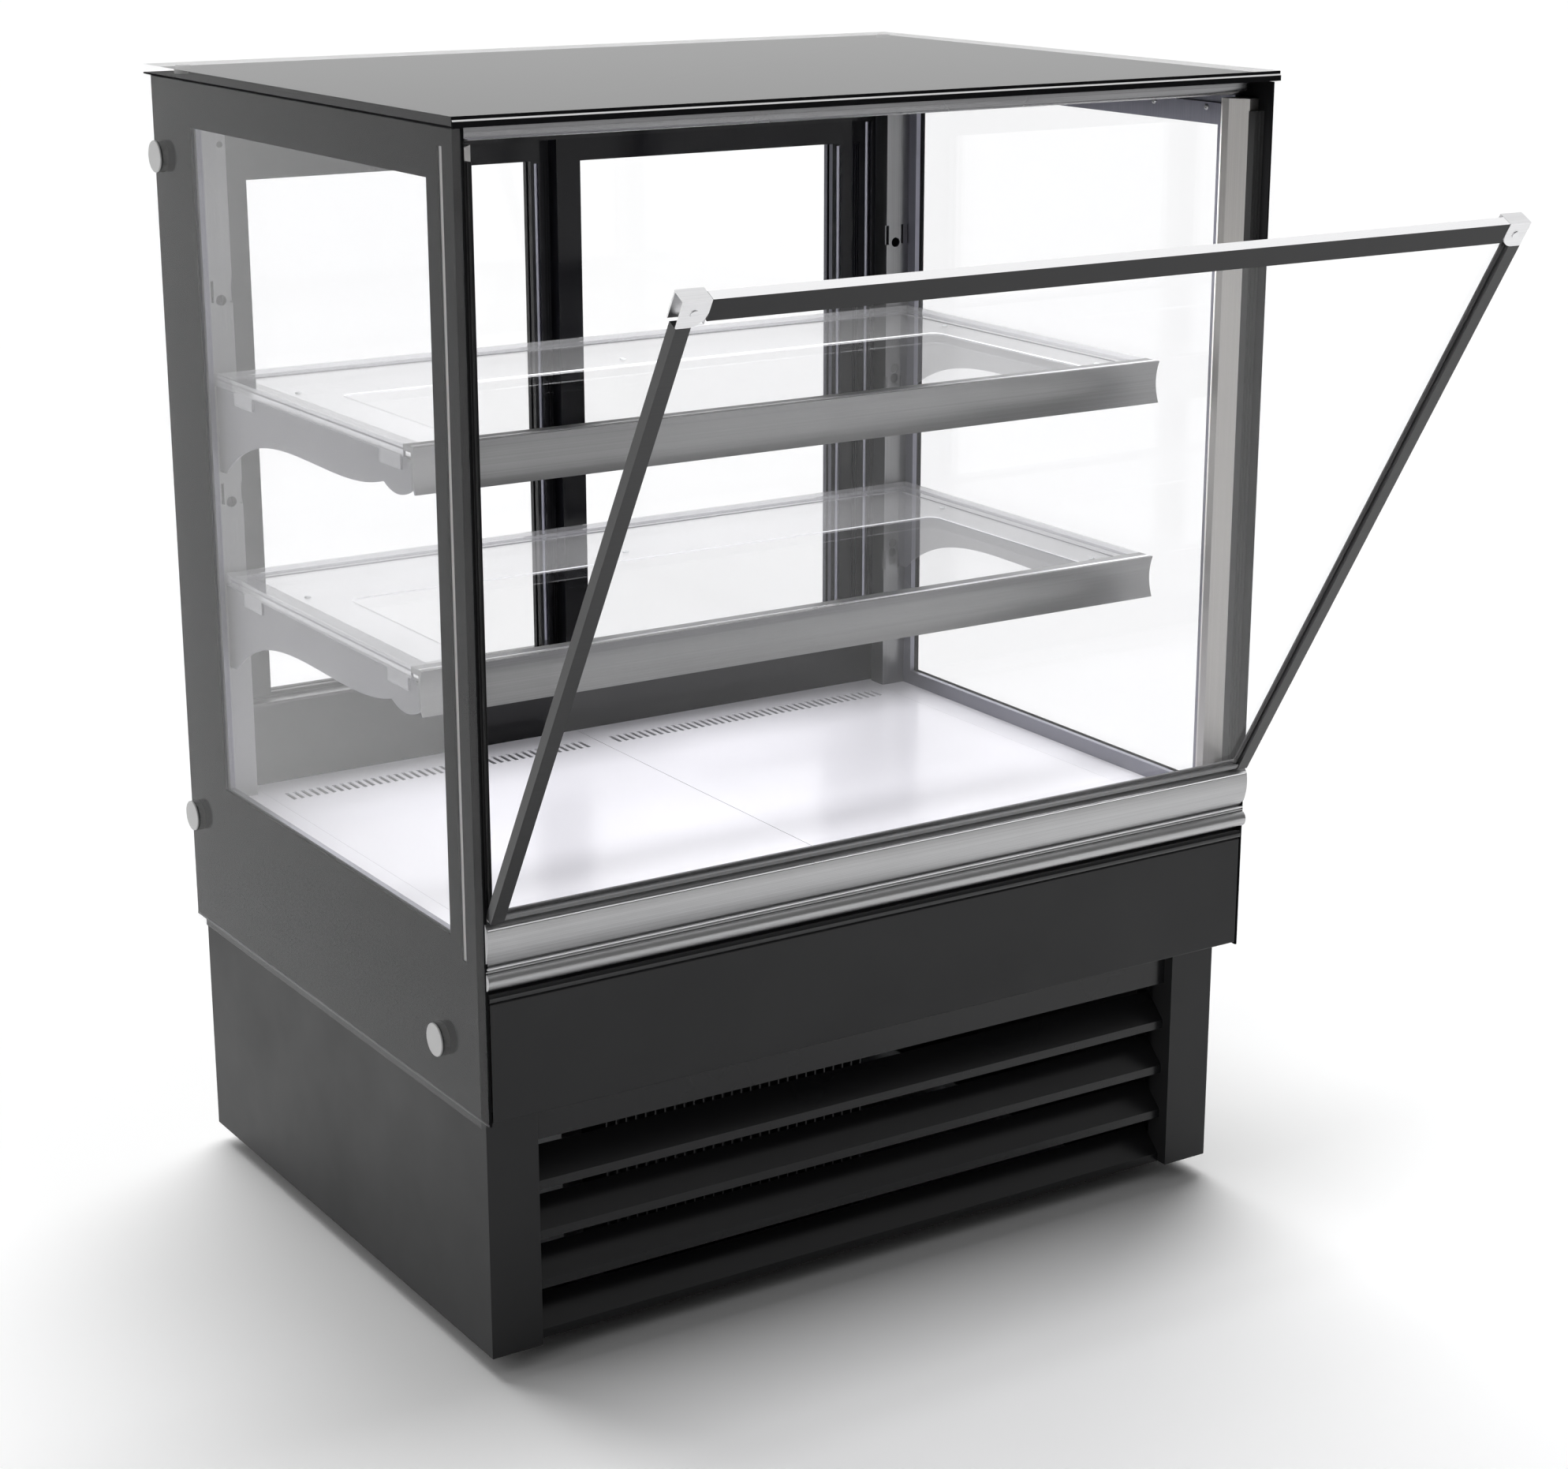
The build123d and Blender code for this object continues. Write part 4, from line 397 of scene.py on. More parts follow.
stainless = drawn_metal("brushed_stainless", (0.38, 0.38, 0.385), (0.46, 0.46, 0.465), 0.34)
paint(["front_sill", "hinge_blocks", "door_shoes"], stainless)
rail_metal = drawn_metal("shelf_rail_metal", (0.225, 0.225, 0.228), (0.265, 0.265, 0.268), 0.36)
paint(["shelf_rails"], rail_metal)
channel_grey = drawn_metal(
    "door_channel_grey", (0.19, 0.19, 0.193), (0.23, 0.23, 0.233), 0.42, metallic=0.2
)
paint(["door_bottom_rail"], channel_grey)
cornice_metal = drawn_metal("satin_cornice_metal", (0.20, 0.20, 0.205), (0.25, 0.25, 0.255), 0.26)
paint(["cornice"], cornice_metal)

frame_grey = drawn_metal(
    "frame_grey", (0.20, 0.20, 0.24), (0.235, 0.235, 0.275), 0.36, "Z", metallic=0.75
)
paint(["glazing_frames"], frame_grey)
upright_metal = drawn_metal(
    "upright_satin_metal", (0.21, 0.21, 0.215), (0.25, 0.25, 0.255), 0.32, "Z"
)
paint(["uprights"], upright_metal)

dark_bars = drawn_metal(
    "dark_anodised", (0.030, 0.030, 0.031), (0.036, 0.036, 0.037), 0.34, metallic=0.2
)
paint(["door_bars", "rear_track"], dark_bars)

silver = drawn_metal("silver_anodised", (0.72, 0.72, 0.73), (0.79, 0.79, 0.80), 0.30)
paint(["door_corners"], silver)
silver_upright = drawn_metal(
    "silver_upright", (0.41, 0.398, 0.385), (0.45, 0.438, 0.425), 0.38, "Z"
)
paint(["corner_lights"], silver_upright)

# %% [markdown]
# Profiles with two faces
#
# The door's top rail is dark with a bright upper face, and the stile of the inner rear door is
# gloss black with a bare edge. Each could be two pieces, but it is one profile in reality too, so
# one material looks at which way a face is turned and gives it paint or bare metal.

# %% Profiles that are dark on one side and bare on another
facing_edge = 0.9


def two_faced(name, dark, bare, aim, rough_dark, rough_bare, **extra):
    """A dark finish, with bare metal where the surface faces one way."""
    finish, shader = new_finish(name, dark, rough_dark, **extra)
    ways = {f"Towards_{axis}": way for axis, way in zip("XYZ", aim)}
    mask = use_group(finish, facing, Edge=facing_edge, **ways)
    shade(finish, shader, mask.outputs["Mask"], dark, bare)
    vary(finish, mask.outputs["Mask"], shader.inputs["Metallic"], 0.0, 1.0)
    vary(finish, mask.outputs["Mask"], shader.inputs["Roughness"], rough_dark, rough_bare)
    return finish


door_lean = math.radians(30.0)
rail_top = (0.0, -math.sin(door_lean), math.cos(door_lean))
rail_finish = two_faced(
    "door_rail_dark_and_silver", (0.022, 0.022, 0.023), (0.90, 0.90, 0.91), rail_top, 0.34, 0.25,
    Specular_IOR_Level=0.25,
)
paint(["door_top_rail"], rail_finish)
stile_edge = (-1.0, 0.0, 0.0)
door_gloss = two_faced(
    "rear_door_gloss_and_bare", (0.006, 0.006, 0.007), (0.07, 0.07, 0.085), stile_edge, 0.09, 0.3,
    Specular_IOR_Level=0.18,
)
paint(["rear_door_frame_right"], door_gloss)

# %% [markdown]
# Glass
#
# The panes are clear float glass with polished edges. They are thin and flat, and in the
# photograph what stands behind them isn't shifted, so the body of the glass bends light hardly at
# all and a clear coat gives it the mirror of real glass. Rays from lamps and rays between matt
# surfaces pass straight through, because a render tool finds it hard to light what stands behind
# a clear solid.

# %% Clear glass
hardly_bent = 1.01
lamp_share = (0.95, 0.95, 0.955, 1.0)


def clear_pane(name, tint, mirror=1.27):
    """A clear solid that mirrors what the camera sees, and lets lamps through."""
    finish, shader = new_finish(
        name, tint, 0.0, Transmission_Weight=1.0, IOR=hardly_bent,
        Coat_Weight=1.0, Coat_Roughness=0.0, Coat_IOR=mirror,
    )
    tree = finish.node_tree
    path = tree.nodes.new("ShaderNodeLightPath")
    unseen = combine(
        tree, "MAXIMUM", path.outputs["Is Shadow Ray"], path.outputs["Is Diffuse Ray"]
    )
    through = add(tree, "ShaderNodeBsdfTransparent", Color=lamp_share)
    mix = tree.nodes.new("ShaderNodeMixShader")
    tree.links.new(unseen, mix.inputs[0])
    join(
        tree,
        (shader, "BSDF", mix, 1),
        (through, "BSDF", mix, 2),
        (mix, "Shader", tree.nodes["Material Output"], "Surface"),
    )
    return finish


pane_tint = (0.990, 0.990, 0.994)
float_glass = clear_pane("float_glass", pane_tint)
paint(["window_panes", "top_glass", "door_glass"], float_glass)
paint(["rear_door_pane_left", "rear_door_pane_right"], float_glass)
shelf_glass = clear_pane("shelf_glass", (0.865, 0.865, 0.872))
paint(["shelf_plates"], shelf_glass)

# %% [markdown]
# Outer panes
#
# Each outer pane lies flat against the painted side wall. In the CAD model the two faces share
# one plane, and a renderer can't tell which of them a ray meets first, which shows as a speckle.
# A copy of the panes has its inner faces moved out by a hair, as if by the film of air that is
# always there.

# %% Outer panes with a film of air behind them


def piece_from(shape, name, *finishes):
    """An object from a bmesh, with its finishes in their slots."""
    mesh = bpy.data.meshes.new(name)
    shape.to_mesh(mesh)
    shape.free()
    for finish in finishes:
        mesh.materials.append(finish)
    print(name, "has", len(mesh.polygons), "faces")
    return new_object(name, mesh)


air_film = 0.0002
same_point = 1e-6
pane_shape = bmesh.new()
pane_shape.from_mesh(node["cover_panes"].data)
bmesh.ops.remove_doubles(pane_shape, verts=pane_shape.verts, dist=same_point)
inner_face = min(abs(v.co.x) for v in pane_shape.verts)
inner_verts = [v for v in pane_shape.verts if abs(v.co.x) < inner_face + air_film]
for vert in inner_verts:
    vert.co.x += math.copysign(air_film, vert.co.x)
print("outer panes:", len(inner_verts), "points moved from", round(inner_face, 4))
outer_glass = clear_pane("outer_pane_glass", pane_tint, mirror=1.16)
outer_panes = piece_from(pane_shape, "outer_panes", outer_glass)
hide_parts("cover_panes")
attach(outer_panes, "cabinet")

# %% [markdown]
# Shelf rims
#
# The moulded rim round each shelf is half clear: light comes through it, but nothing behind it is
# sharp. It could be a solid with scattering inside, which is slow and noisy. A part of the light
# passes here, and the rest is spread by the pale base, under a clear coat.

# %% Milky, half clear shelf rims
rim_milk, rim_shader = new_finish(
    "milky_rim_plastic", (0.84, 0.84, 0.86), 0.12, Transmission_Weight=0.82, IOR=1.12,
    Coat_Weight=1.0, Coat_IOR=1.35, Coat_Roughness=0.03,
)
handled(rim_milk, rim_shader, 16.0, 0.08, 0.15)
paint(["shelf_rims"], rim_milk)

# %% [markdown]
# Rubber and plastics
#
# The gasket and the feet are matt black rubber and plastic. The caps outside the panes are smooth
# and pale, and the covers of the corner lights are milky, so both are soft pale plastics. The
# machinery in the plinth and the tank is zinc-coated steel, with aluminium fins on the coil.

# %% Rubber, plastic and the inner metals


def moulded(name, base, roughness, texture=0.00003, **extra):
    """Moulded rubber or plastic with a fine texture from its mould."""
    finish, shader = new_finish(name, base, roughness, **extra)
    bump_from(finish, shader, use_group(finish, grain, Scale=700.0), texture)
    handled(finish, shader, 14.0, roughness * 0.85, roughness * 1.1)
    return finish


rubber = moulded("black_rubber", (0.014, 0.014, 0.014), 0.62)
paint(["door_gaskets", "glass_bushes"], rubber)
black_plastic = moulded("black_plastic", (0.018, 0.018, 0.019), 0.45)
paint(["levelling_feet", "mains_inlet", "control_housings"], black_plastic)
paint(["power_rocker", "light_rocker"], black_plastic)
paint(["evaporator_fan_left", "evaporator_fan_right", "condenser_fan"], black_plastic)
grey_plastic = moulded("grey_plastic", (0.52, 0.53, 0.54), 0.48)
paint(["tank", "drain_pipe", "drip_tray", "controller_key_1", "controller_key_2"], grey_plastic)
cap_plastic = moulded("pale_cap_plastic", (0.56, 0.56, 0.56), 0.25, texture=0.00001)
paint(["pane_caps"], cap_plastic)
milky = moulded(
    "milky_diffuser", (0.56, 0.545, 0.53), 0.42, Subsurface_Weight=0.15, Subsurface_Scale=0.002
)
paint(["light_diffusers"], milky)
zinc = drawn_metal("zinc_coated_steel", (0.40, 0.41, 0.42), (0.50, 0.51, 0.52), 0.42)
paint(["unit_base", "fan_shroud", "fan_plate", "fan_motors"], zinc)
fin_metal = drawn_metal("fin_aluminium", (0.58, 0.59, 0.60), (0.66, 0.67, 0.68), 0.36, "Z")
paint(["evaporator_coil"], fin_metal)

# %% [markdown]
# Small repeated pieces
#
# Screws, nuts and beads are made once and set in many places. They could be copied one by one,
# but a Geometry Nodes tree does it with one rule: a carrier mesh has a point for each copy, an
# attribute on the point says how the copy is turned, and the tree puts the model on every point.
# The result is made a plain mesh, because the export keeps no instances.

# %% A tree that sets one model on many points


def geometry_tree(name, inputs):
    """A Geometry Nodes tree with a mesh in, a mesh out and named inputs."""
    tree = bpy.data.node_groups.new(name, "GeometryNodeTree")
    tree.interface.new_socket("Geometry", in_out="INPUT", socket_type="NodeSocketGeometry")
    for label, kind in inputs.items():
        tree.interface.new_socket(label, in_out="INPUT", socket_type=f"NodeSocket{kind}")
    tree.interface.new_socket("Geometry", in_out="OUTPUT", socket_type="NodeSocketGeometry")
    return tree, tree.nodes.new("NodeGroupInput"), tree.nodes.new("NodeGroupOutput")


setter, setter_in, setter_out = geometry_tree(
    "set_models_on_points", {"Model": "Object", "Size": "Float", "Finish": "Material"}
)
setter_model = setter.nodes.new("GeometryNodeObjectInfo")
setter_turn = setter.nodes.new("GeometryNodeInputNamedAttribute")
setter_turn.data_type = "FLOAT_VECTOR"
setter_turn.inputs["Name"].default_value = "turn"
setter_angle = setter.nodes.new("FunctionNodeEulerToRotation")
setter_copies = setter.nodes.new("GeometryNodeInstanceOnPoints")
setter_real = setter.nodes.new("GeometryNodeRealizeInstances")
setter_dress = setter.nodes.new("GeometryNodeSetMaterial")
join(
    setter,
    (setter_in, "Model", setter_model, "Object"),
    (setter_turn, "Attribute", setter_angle, "Euler"),
    (setter_in, "Geometry", setter_copies, "Points"),
    (setter_model, "Geometry", setter_copies, "Instance"),
    (setter_angle, "Rotation", setter_copies, "Rotation"),
    (setter_in, "Size", setter_copies, "Scale"),
    (setter_copies, "Instances", setter_real, "Geometry"),
    (setter_real, "Geometry", setter_dress, "Geometry"),
    (setter_in, "Finish", setter_dress, "Material"),
    (setter_dress, "Geometry", setter_out, "Geometry"),
)
print("tree:", setter.name, "with", len(setter.nodes), "nodes")

# %% Run a tree and keep the plain mesh


def plain_mesh(name, carrier, tree, **values):
    """Grow a piece from a carrier with a tree, and turn the result into a plain mesh."""
    piece = new_object(name, carrier)
    modifier = piece.modifiers.new("grown", "NODES")
    modifier.node_group = tree
    for socket in tree.interface.items_tree:
        if socket.in_out == "INPUT" and socket.name in values:
            modifier[socket.identifier] = values[socket.name]
    seen = piece.evaluated_get(bpy.context.evaluated_depsgraph_get())
    grown = bpy.data.meshes.new_from_object(seen)
    piece.modifiers.remove(modifier)
    grown.name = name
    piece.data = grown
    print(name, "has", len(grown.polygons), "faces")
    return piece


def carrier_points(name, places, turn):
    """A mesh of loose points, each with the angles that its copy is turned by."""
    mesh = bpy.data.meshes.new(name)
    mesh.from_pydata(places, [], [])
    angles = mesh.attributes.new("turn", "FLOAT_VECTOR", "POINT")
    for index in range(len(places)):
        angles.data[index].vector = turn
    return mesh


def belongs(piece, body):
    """Let a piece ride on a body."""
    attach(piece, body)


# %% [markdown]
# Screw heads and lock nuts
#
# A pan head screw is a low dome with a socket in the middle. It is turned from an outline, as on
# a lathe, with few steps, because each head is only a few millimetres wide. The heads are seated
# by a ray that is sent onto the sheet they hold, so none of them floats or sinks in.

# %% Turn an outline into a round model


def turned_model(name, outline, sides):
    """A closed round mesh from pairs of radius and height, first and last on the axis."""
    mesh_points = [(0.0, 0.0, outline[0][1])]
    faces = []
    rings = outline[1:-1]
    for radius, height in rings:
        for step in range(sides):
            angle = 2.0 * math.pi * step / sides
            mesh_points.append((radius * math.cos(angle), radius * math.sin(angle), height))
    mesh_points.append((0.0, 0.0, outline[-1][1]))
    for step in range(sides):
        after = (step + 1) % sides
        faces.append((0, 1 + after, 1 + step))
        for ring in range(len(rings) - 1):
            low, high = 1 + ring * sides, 1 + (ring + 1) * sides
            faces.append((low + step, low + after, high + after, high + step))
        top = 1 + (len(rings) - 1) * sides
        faces.append((top + step, top + after, len(mesh_points) - 1))
    mesh = bpy.data.meshes.new(name)
    mesh.from_pydata(mesh_points, [], faces)
    print(name, "has", len(faces), "faces")
    return new_object(name, mesh)


screw_outline = [
    (0.0, 0.0), (1.0, 0.0), (1.0, 0.12), (0.82, 0.34), (0.46, 0.42), (0.40, 0.18), (0.0, 0.16),
]
nut_outline = [(0.0, 0.0), (1.0, 0.0), (1.0, 0.36), (0.0, 0.36)]
screw_model = turned_model("screw_head_model", screw_outline, 12)
nut_model = turned_model("lock_nut_model", nut_outline, 6)

# %% Seat screws on the case


def seated(name, start, way):
    """The point where a ray first meets a CAD node."""
    hit, place, _, _ = node[name].ray_cast(Vector(start), Vector(way))
    assert hit, (name, start)
    return tuple(place)


def set_screws(name, places, turn, size, finish, model=screw_model):
    """One piece with a screw or nut on every place, at rest on the cabinet."""
    carrier = carrier_points(name + "_points", places, turn)
    piece = plain_mesh(name, carrier, setter, Model=model, Size=size, Finish=finish)
    belongs(piece, "cabinet")


quarter = math.pi / 2
upward, backward = (0.0, 0.0, 0.0), (-quarter, 0.0, 0.0)
screw_steel = drawn_metal("screw_steel", (0.48, 0.48, 0.49), (0.58, 0.58, 0.59), 0.30)

# %% Screws of the window frames
front_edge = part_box("top_sheet")[0][1]
frame_screw_depths = [0.086, 0.168, 0.40, 0.56]
frame_screw_height = 1.132
frame_screw_radius = 0.0030
for side, name in [(1.0, "frame_screws_right"), (-1.0, "frame_screws_left")]:
    middle_places = [(0.0, front_edge + depth, frame_screw_height) for depth in frame_screw_depths]
    spots = [seated("glazing_frames", start, (side, 0.0, 0.0)) for start in middle_places]
    inward = (0.0, -side * quarter, 0.0)
    set_screws(name, spots, inward, frame_screw_radius, screw_steel)

# %% Screws of the rear grille
(grille_left, _, grille_foot), (grille_right, _, grille_top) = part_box("rear_grille")
margin = 0.007
behind_case = 0.6
grille_screw_radius = 0.0036
grille_spots = [
    seated("rear_grille", (x, behind_case, z), (0.0, -1.0, 0.0))
    for x in (grille_left + margin, -0.20, 0.0, 0.20, grille_right - margin)
    for z in (grille_foot + margin, grille_top - margin)
]
set_screws(
    "grille_screws", grille_spots, backward, grille_screw_radius, screw_steel
)

# %% Lock nuts on the feet
foot_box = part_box("levelling_feet")
foot_radius = 0.020
nut_radius = 0.012
nut_drop = 0.0046
foot_spots = [
    (x, y, foot_box[1][2] - nut_drop)
    for x in (foot_box[0][0] + foot_radius, foot_box[1][0] - foot_radius)
    for y in (foot_box[0][1] + foot_radius, foot_box[1][1] - foot_radius)
]
set_screws("foot_lock_nuts", foot_spots, upward, nut_radius, zinc, model=nut_model)

# %% [markdown]
# Clear strips on the shelves
#
# A flat strip of clear plastic lies on each glass plate inside its rim, wider at the back than at
# the sides. Its cut edge catches light and shows as a white line. The strip is a flat outline
# that is given a thickness, and only the faces of its inner edge take the white finish.

# %% Clear plastic and its bright cut edge
strip_clear, strip_shader = new_finish(
    "clear_strip_plastic", (0.93, 0.93, 0.94), 0.04, Transmission_Weight=0.86, IOR=1.02,
    Coat_Weight=1.0, Coat_Roughness=0.02, Coat_IOR=1.3,
)
handled(strip_clear, strip_shader, 14.0, 0.02, 0.06)
strip_edge = moulded("bright_strip_edge", (0.92, 0.92, 0.94), 0.30, texture=0.00001)
print("strip finishes:", strip_clear.name, strip_edge.name)

# %% Outline, thickness and white edge
near = 0.001
strip_rounding = 0.012


def raise_flat(shape, outline, rise):
    """Give a flat outline a thickness along a vector."""
    flat = shape.faces.new([shape.verts.new(point) for point in outline])
    raised = bmesh.ops.extrude_face_region(shape, geom=[flat])["geom"]
    moved = [v for v in raised if isinstance(v, bmesh.types.BMVert)]
    bmesh.ops.translate(shape, verts=moved, vec=rise)


def round_off(shape, edges, offset, segments):
    """Round some edges with a bevel."""
    bmesh.ops.bevel(
        shape, geom=edges, offset=offset, segments=segments, affect="EDGES", profile=0.5
    )


def clear_strip(name, outer_half, inner_half, front, inner_rear, rear, bottom, top):
    """A flat strip along both sides and the rear of a shelf."""
    shape = bmesh.new()
    outline = [
        (-outer_half, front), (-inner_half, front), (-inner_half, inner_rear),
        (inner_half, inner_rear), (inner_half, front), (outer_half, front),
        (outer_half, rear), (-outer_half, rear),
    ]
    raise_flat(shape, [(x, y, bottom) for x, y in outline], (0.0, 0.0, top - bottom))
    inner_corners = []
    for edge in shape.edges:
        start, end = (v.co for v in edge.verts)
        upright = abs(start.z - end.z) > near
        if upright and abs(start.x) < inner_half + near and start.y > inner_rear - near:
            inner_corners.append(edge)
    round_off(shape, inner_corners, strip_rounding, 6)
    bmesh.ops.recalc_face_normals(shape, faces=shape.faces)
    for face in shape.faces:
        middle = face.calc_center_median()
        on_edge = abs(face.normal.z) < 0.5 and middle.y < rear - near
        face.material_index = 1 if on_edge and abs(middle.x) < inner_half + near else 0
    belongs(piece_from(shape, name, strip_clear, strip_edge), "cabinet")


# %% A strip and its screws on each shelf
rim_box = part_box("shelf_rims")
upper_plate_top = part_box("shelf_plates")[1][2]
shelf_step = 0.207
strip_half, strip_inner = 0.4018, 0.3585
strip_gap, strip_rise = 0.0002, 0.0014
strip_front, strip_rear = rim_box[0][1] + 0.002, rim_box[1][1] - 0.0248
strip_line = front_edge + 0.444
strip_screw_radius = 0.0034
strip_screws = [(-0.39, 0.472), (-0.022, 0.474), (0.39, 0.472), (-0.377, 0.182), (0.377, 0.182)]
for level, plate_top in (("upper", upper_plate_top), ("lower", upper_plate_top - shelf_step)):
    strip_top = plate_top + strip_rise
    clear_strip(
        f"clear_strip_{level}", strip_half, strip_inner, strip_front, strip_line, strip_rear,
        plate_top + strip_gap, strip_top,
    )
    spots = [(x, front_edge + depth, strip_top) for x, depth in strip_screws]
    set_screws(
        f"strip_screws_{level}", spots, upward, strip_screw_radius, grey_plastic
    )

# %% [markdown]
# Beads and bright lips
#
# Each sliding door has a thin bright bead where its glass meets the frame. The shelf rails and
# the sill have lips of a bright metal, much brighter than their own: a painted highlight where
# their edges catch the light. The side walls have a hem along the foot in a grey lighter than
# the wall, a painted highlight too. All are drawn or folded sections, so they are made like one:
# a line is turned into a curve and a small rectangle or circle is swept along it.

# %% A tree that sweeps a small rectangle or circle along lines
sweeper, sweeper_in, sweeper_out = geometry_tree(
    "sweep_bead_along_lines",
    {"Width": "Float", "Thickness": "Float", "Round": "Bool", "Finish": "Material"},
)
sweeper_line = sweeper.nodes.new("GeometryNodeMeshToCurve")
sweeper_face = sweeper.nodes.new("GeometryNodeCurvePrimitiveQuadrilateral")
sweeper_round = add(sweeper, "GeometryNodeCurvePrimitiveCircle", Resolution=10)
sweeper_radius = sweeper.nodes.new("ShaderNodeMath")
sweeper_radius.operation = "MULTIPLY"
sweeper_radius.inputs[1].default_value = 0.5
sweeper_choice = sweeper.nodes.new("GeometryNodeSwitch")
sweeper_choice.input_type = "GEOMETRY"
sweeper_sweep = add(sweeper, "GeometryNodeCurveToMesh", Fill_Caps=True)
sweeper_real = sweeper.nodes.new("GeometryNodeRealizeInstances")
sweeper_dress = sweeper.nodes.new("GeometryNodeSetMaterial")
join(
    sweeper,
    (sweeper_in, "Geometry", sweeper_line, "Mesh"),
    (sweeper_in, "Width", sweeper_face, "Width"),
    (sweeper_in, "Thickness", sweeper_face, "Height"),
    (sweeper_line, "Curve", sweeper_sweep, "Curve"),
    (sweeper_in, "Width", sweeper_radius, 0),
    (sweeper_radius, "Value", sweeper_round, "Radius"),
    (sweeper_in, "Round", sweeper_choice, "Switch"),
    (sweeper_face, "Curve", sweeper_choice, "False"),
    (sweeper_round, "Curve", sweeper_choice, "True"),
    (sweeper_choice, "Output", sweeper_sweep, "Profile Curve"),
    (sweeper_sweep, "Mesh", sweeper_real, "Geometry"),
    (sweeper_real, "Geometry", sweeper_dress, "Geometry"),
    (sweeper_in, "Finish", sweeper_dress, "Material"),
    (sweeper_dress, "Geometry", sweeper_out, "Geometry"),
)
print("tree:", sweeper.name, "with", len(sweeper.nodes), "nodes")

# %% Beads on the rear doors


def beads(name, lines, width, thickness, finish, body, round_bead=False):
    """Drawn beads along straight lines, each from a start to an end."""
    carrier = bpy.data.meshes.new(name + "_lines")
    ends = [end for line in lines for end in line]
    carrier.from_pydata(ends, [(2 * i, 2 * i + 1) for i in range(len(lines))], [])
    piece = plain_mesh(
        name, carrier, sweeper, Width=width, Thickness=thickness, Round=round_bead, Finish=finish
    )
    belongs(piece, body)
    spans = [[v.co[axis] for v in piece.data.vertices] for axis in range(3)]
    print(name, "is", [round(max(span) - min(span), 4) for span in spans])


bead_metal = drawn_metal("bead_metal", (0.34, 0.34, 0.40), (0.42, 0.42, 0.48), 0.32, "Z")
bead_rise = 0.0007
bead_foot, bead_top, outer_bead_top = 0.520, 1.051, 1.076


def door_bead(name, door, x, top, width):
    """An upright bead on the front of a rear door."""
    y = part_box(f"rear_door_frame_{door}")[0][1] - bead_rise / 2
    line = ((x, y, bead_foot), (x, y, top))
    beads(name, [line], width, bead_rise, bead_metal, f"rear_door_{door}")


door_bead("door_bead_right_inner", "right", 0.3570, bead_top, 0.0050)
door_bead("door_bead_right_outer", "right", 0.3972, outer_bead_top, 0.0070)
door_bead("door_bead_left", "left", -0.0222, bead_top, 0.0048)

# %% Bright lips of the shelf rails, a painted highlight on their top edge
# The lip metal is much brighter than the rail's own: a painted highlight along the edge.
highlight_lip_metal = drawn_metal("bright_lip", (0.86, 0.86, 0.87), (0.93, 0.93, 0.94), 0.30)
rail_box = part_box("shelf_rails")
end_inset = 0.001
lip_half = rail_box[1][0] - end_inset
lip_depth = rail_box[0][1] + 0.0060
lip_width, lip_rise = 0.0050, 0.0008
above_upper, above_lower = 1.0, 0.70
rail_lips = [
    seated("shelf_rails", (0.0, lip_depth, start), (0.0, 0.0, -1.0))
    for start in (above_upper, above_lower)
]
lip_lines = [((-lip_half, y, z), (lip_half, y, z)) for _, y, z in rail_lips]
beads("shelf_rail_lips", lip_lines, lip_width, lip_rise, highlight_lip_metal, "cabinet")

# %% Bright lines of the sill, painted highlights on the edges of its face
sill_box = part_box("front_sill")
sill_edges = ((-0.0034, 0.4592), (0.0004, 0.4208))
sill_bead = 0.0024
sill_start, sill_end = sill_box[0][0] + end_inset, sill_box[1][0] - end_inset
sill_lines = [
    ((sill_start, front_edge + depth, z), (sill_end, front_edge + depth, z))
    for depth, z in sill_edges
]
# Round beads of the bright lip metal lie on two edges of the sill as painted highlights.
beads(
    "sill_bright_lines", sill_lines, sill_bead, sill_bead, highlight_lip_metal, "cabinet", round_bead=True
)

# %% Hems along the foot of the side walls, painted lighter as a highlight
skin_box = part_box("side_skins")
# The hem's paint is a lighter grey than the wall's black: a painted highlight along the foot.
hem_highlight_paint = powder_coat(
    "hem_black", (0.10, 0.10, 0.101), (0.115, 0.115, 0.116), 0.40, Specular_IOR_Level=0.3
)
hem_rise = 0.0016
hem_height = skin_box[0][2] + hem_rise / 2
hem_front, hem_rear = skin_box[0][1] + end_inset, skin_box[1][1] - end_inset
for side, x in (("left", skin_box[0][0]), ("right", skin_box[1][0])):
    hem = ((x, hem_front, hem_height), (x, hem_rear, hem_height))
    beads(f"skin_hem_{side}", [hem], hem_rise, hem_rise, hem_highlight_paint, "cabinet")

# %% [markdown]
# The face of the controller
#
# The controller in the rear wall shows a dark window over its keys and a small lamp beside them.
# The window is a thin plate with round corners and softened edges, and the lamp is the nut model
# again, turned to face the back and with a faint glow.

# %% The controller's window


def soft_plate(name, low, high, corner, rounding, finish):
    """A thin plate facing the back, with round corners and softened rear edges."""
    shape = bmesh.new()
    outline = [(low[0], low[2]), (high[0], low[2]), (high[0], high[2]), (low[0], high[2])]
    raise_flat(shape, [(x, low[1], z) for x, z in outline], (0.0, high[1] - low[1], 0.0))
    posts = [e for e in shape.edges if abs(e.verts[0].co.y - e.verts[1].co.y) > 10 * same_point]
    round_off(shape, posts, corner, 5)
    rim = [e for e in shape.edges if all(abs(v.co.y - high[1]) < same_point for v in e.verts)]
    round_off(shape, rim, rounding, 2)
    bmesh.ops.recalc_face_normals(shape, faces=shape.faces)
    return piece_from(shape, name, finish)


housing_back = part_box("control_housings")[1][1]
window_low = (-0.283, housing_back - 0.0002, 0.4610)
window_high = (-0.219, housing_back + 0.0008, 0.4750)
window_corner, window_rounding = 0.0025, 0.0003
window_black = gloss_black("controller_window_black", 0.05)
window = soft_plate(
    "controller_window", window_low, window_high, window_corner, window_rounding, window_black
)
belongs(window, "cabinet")

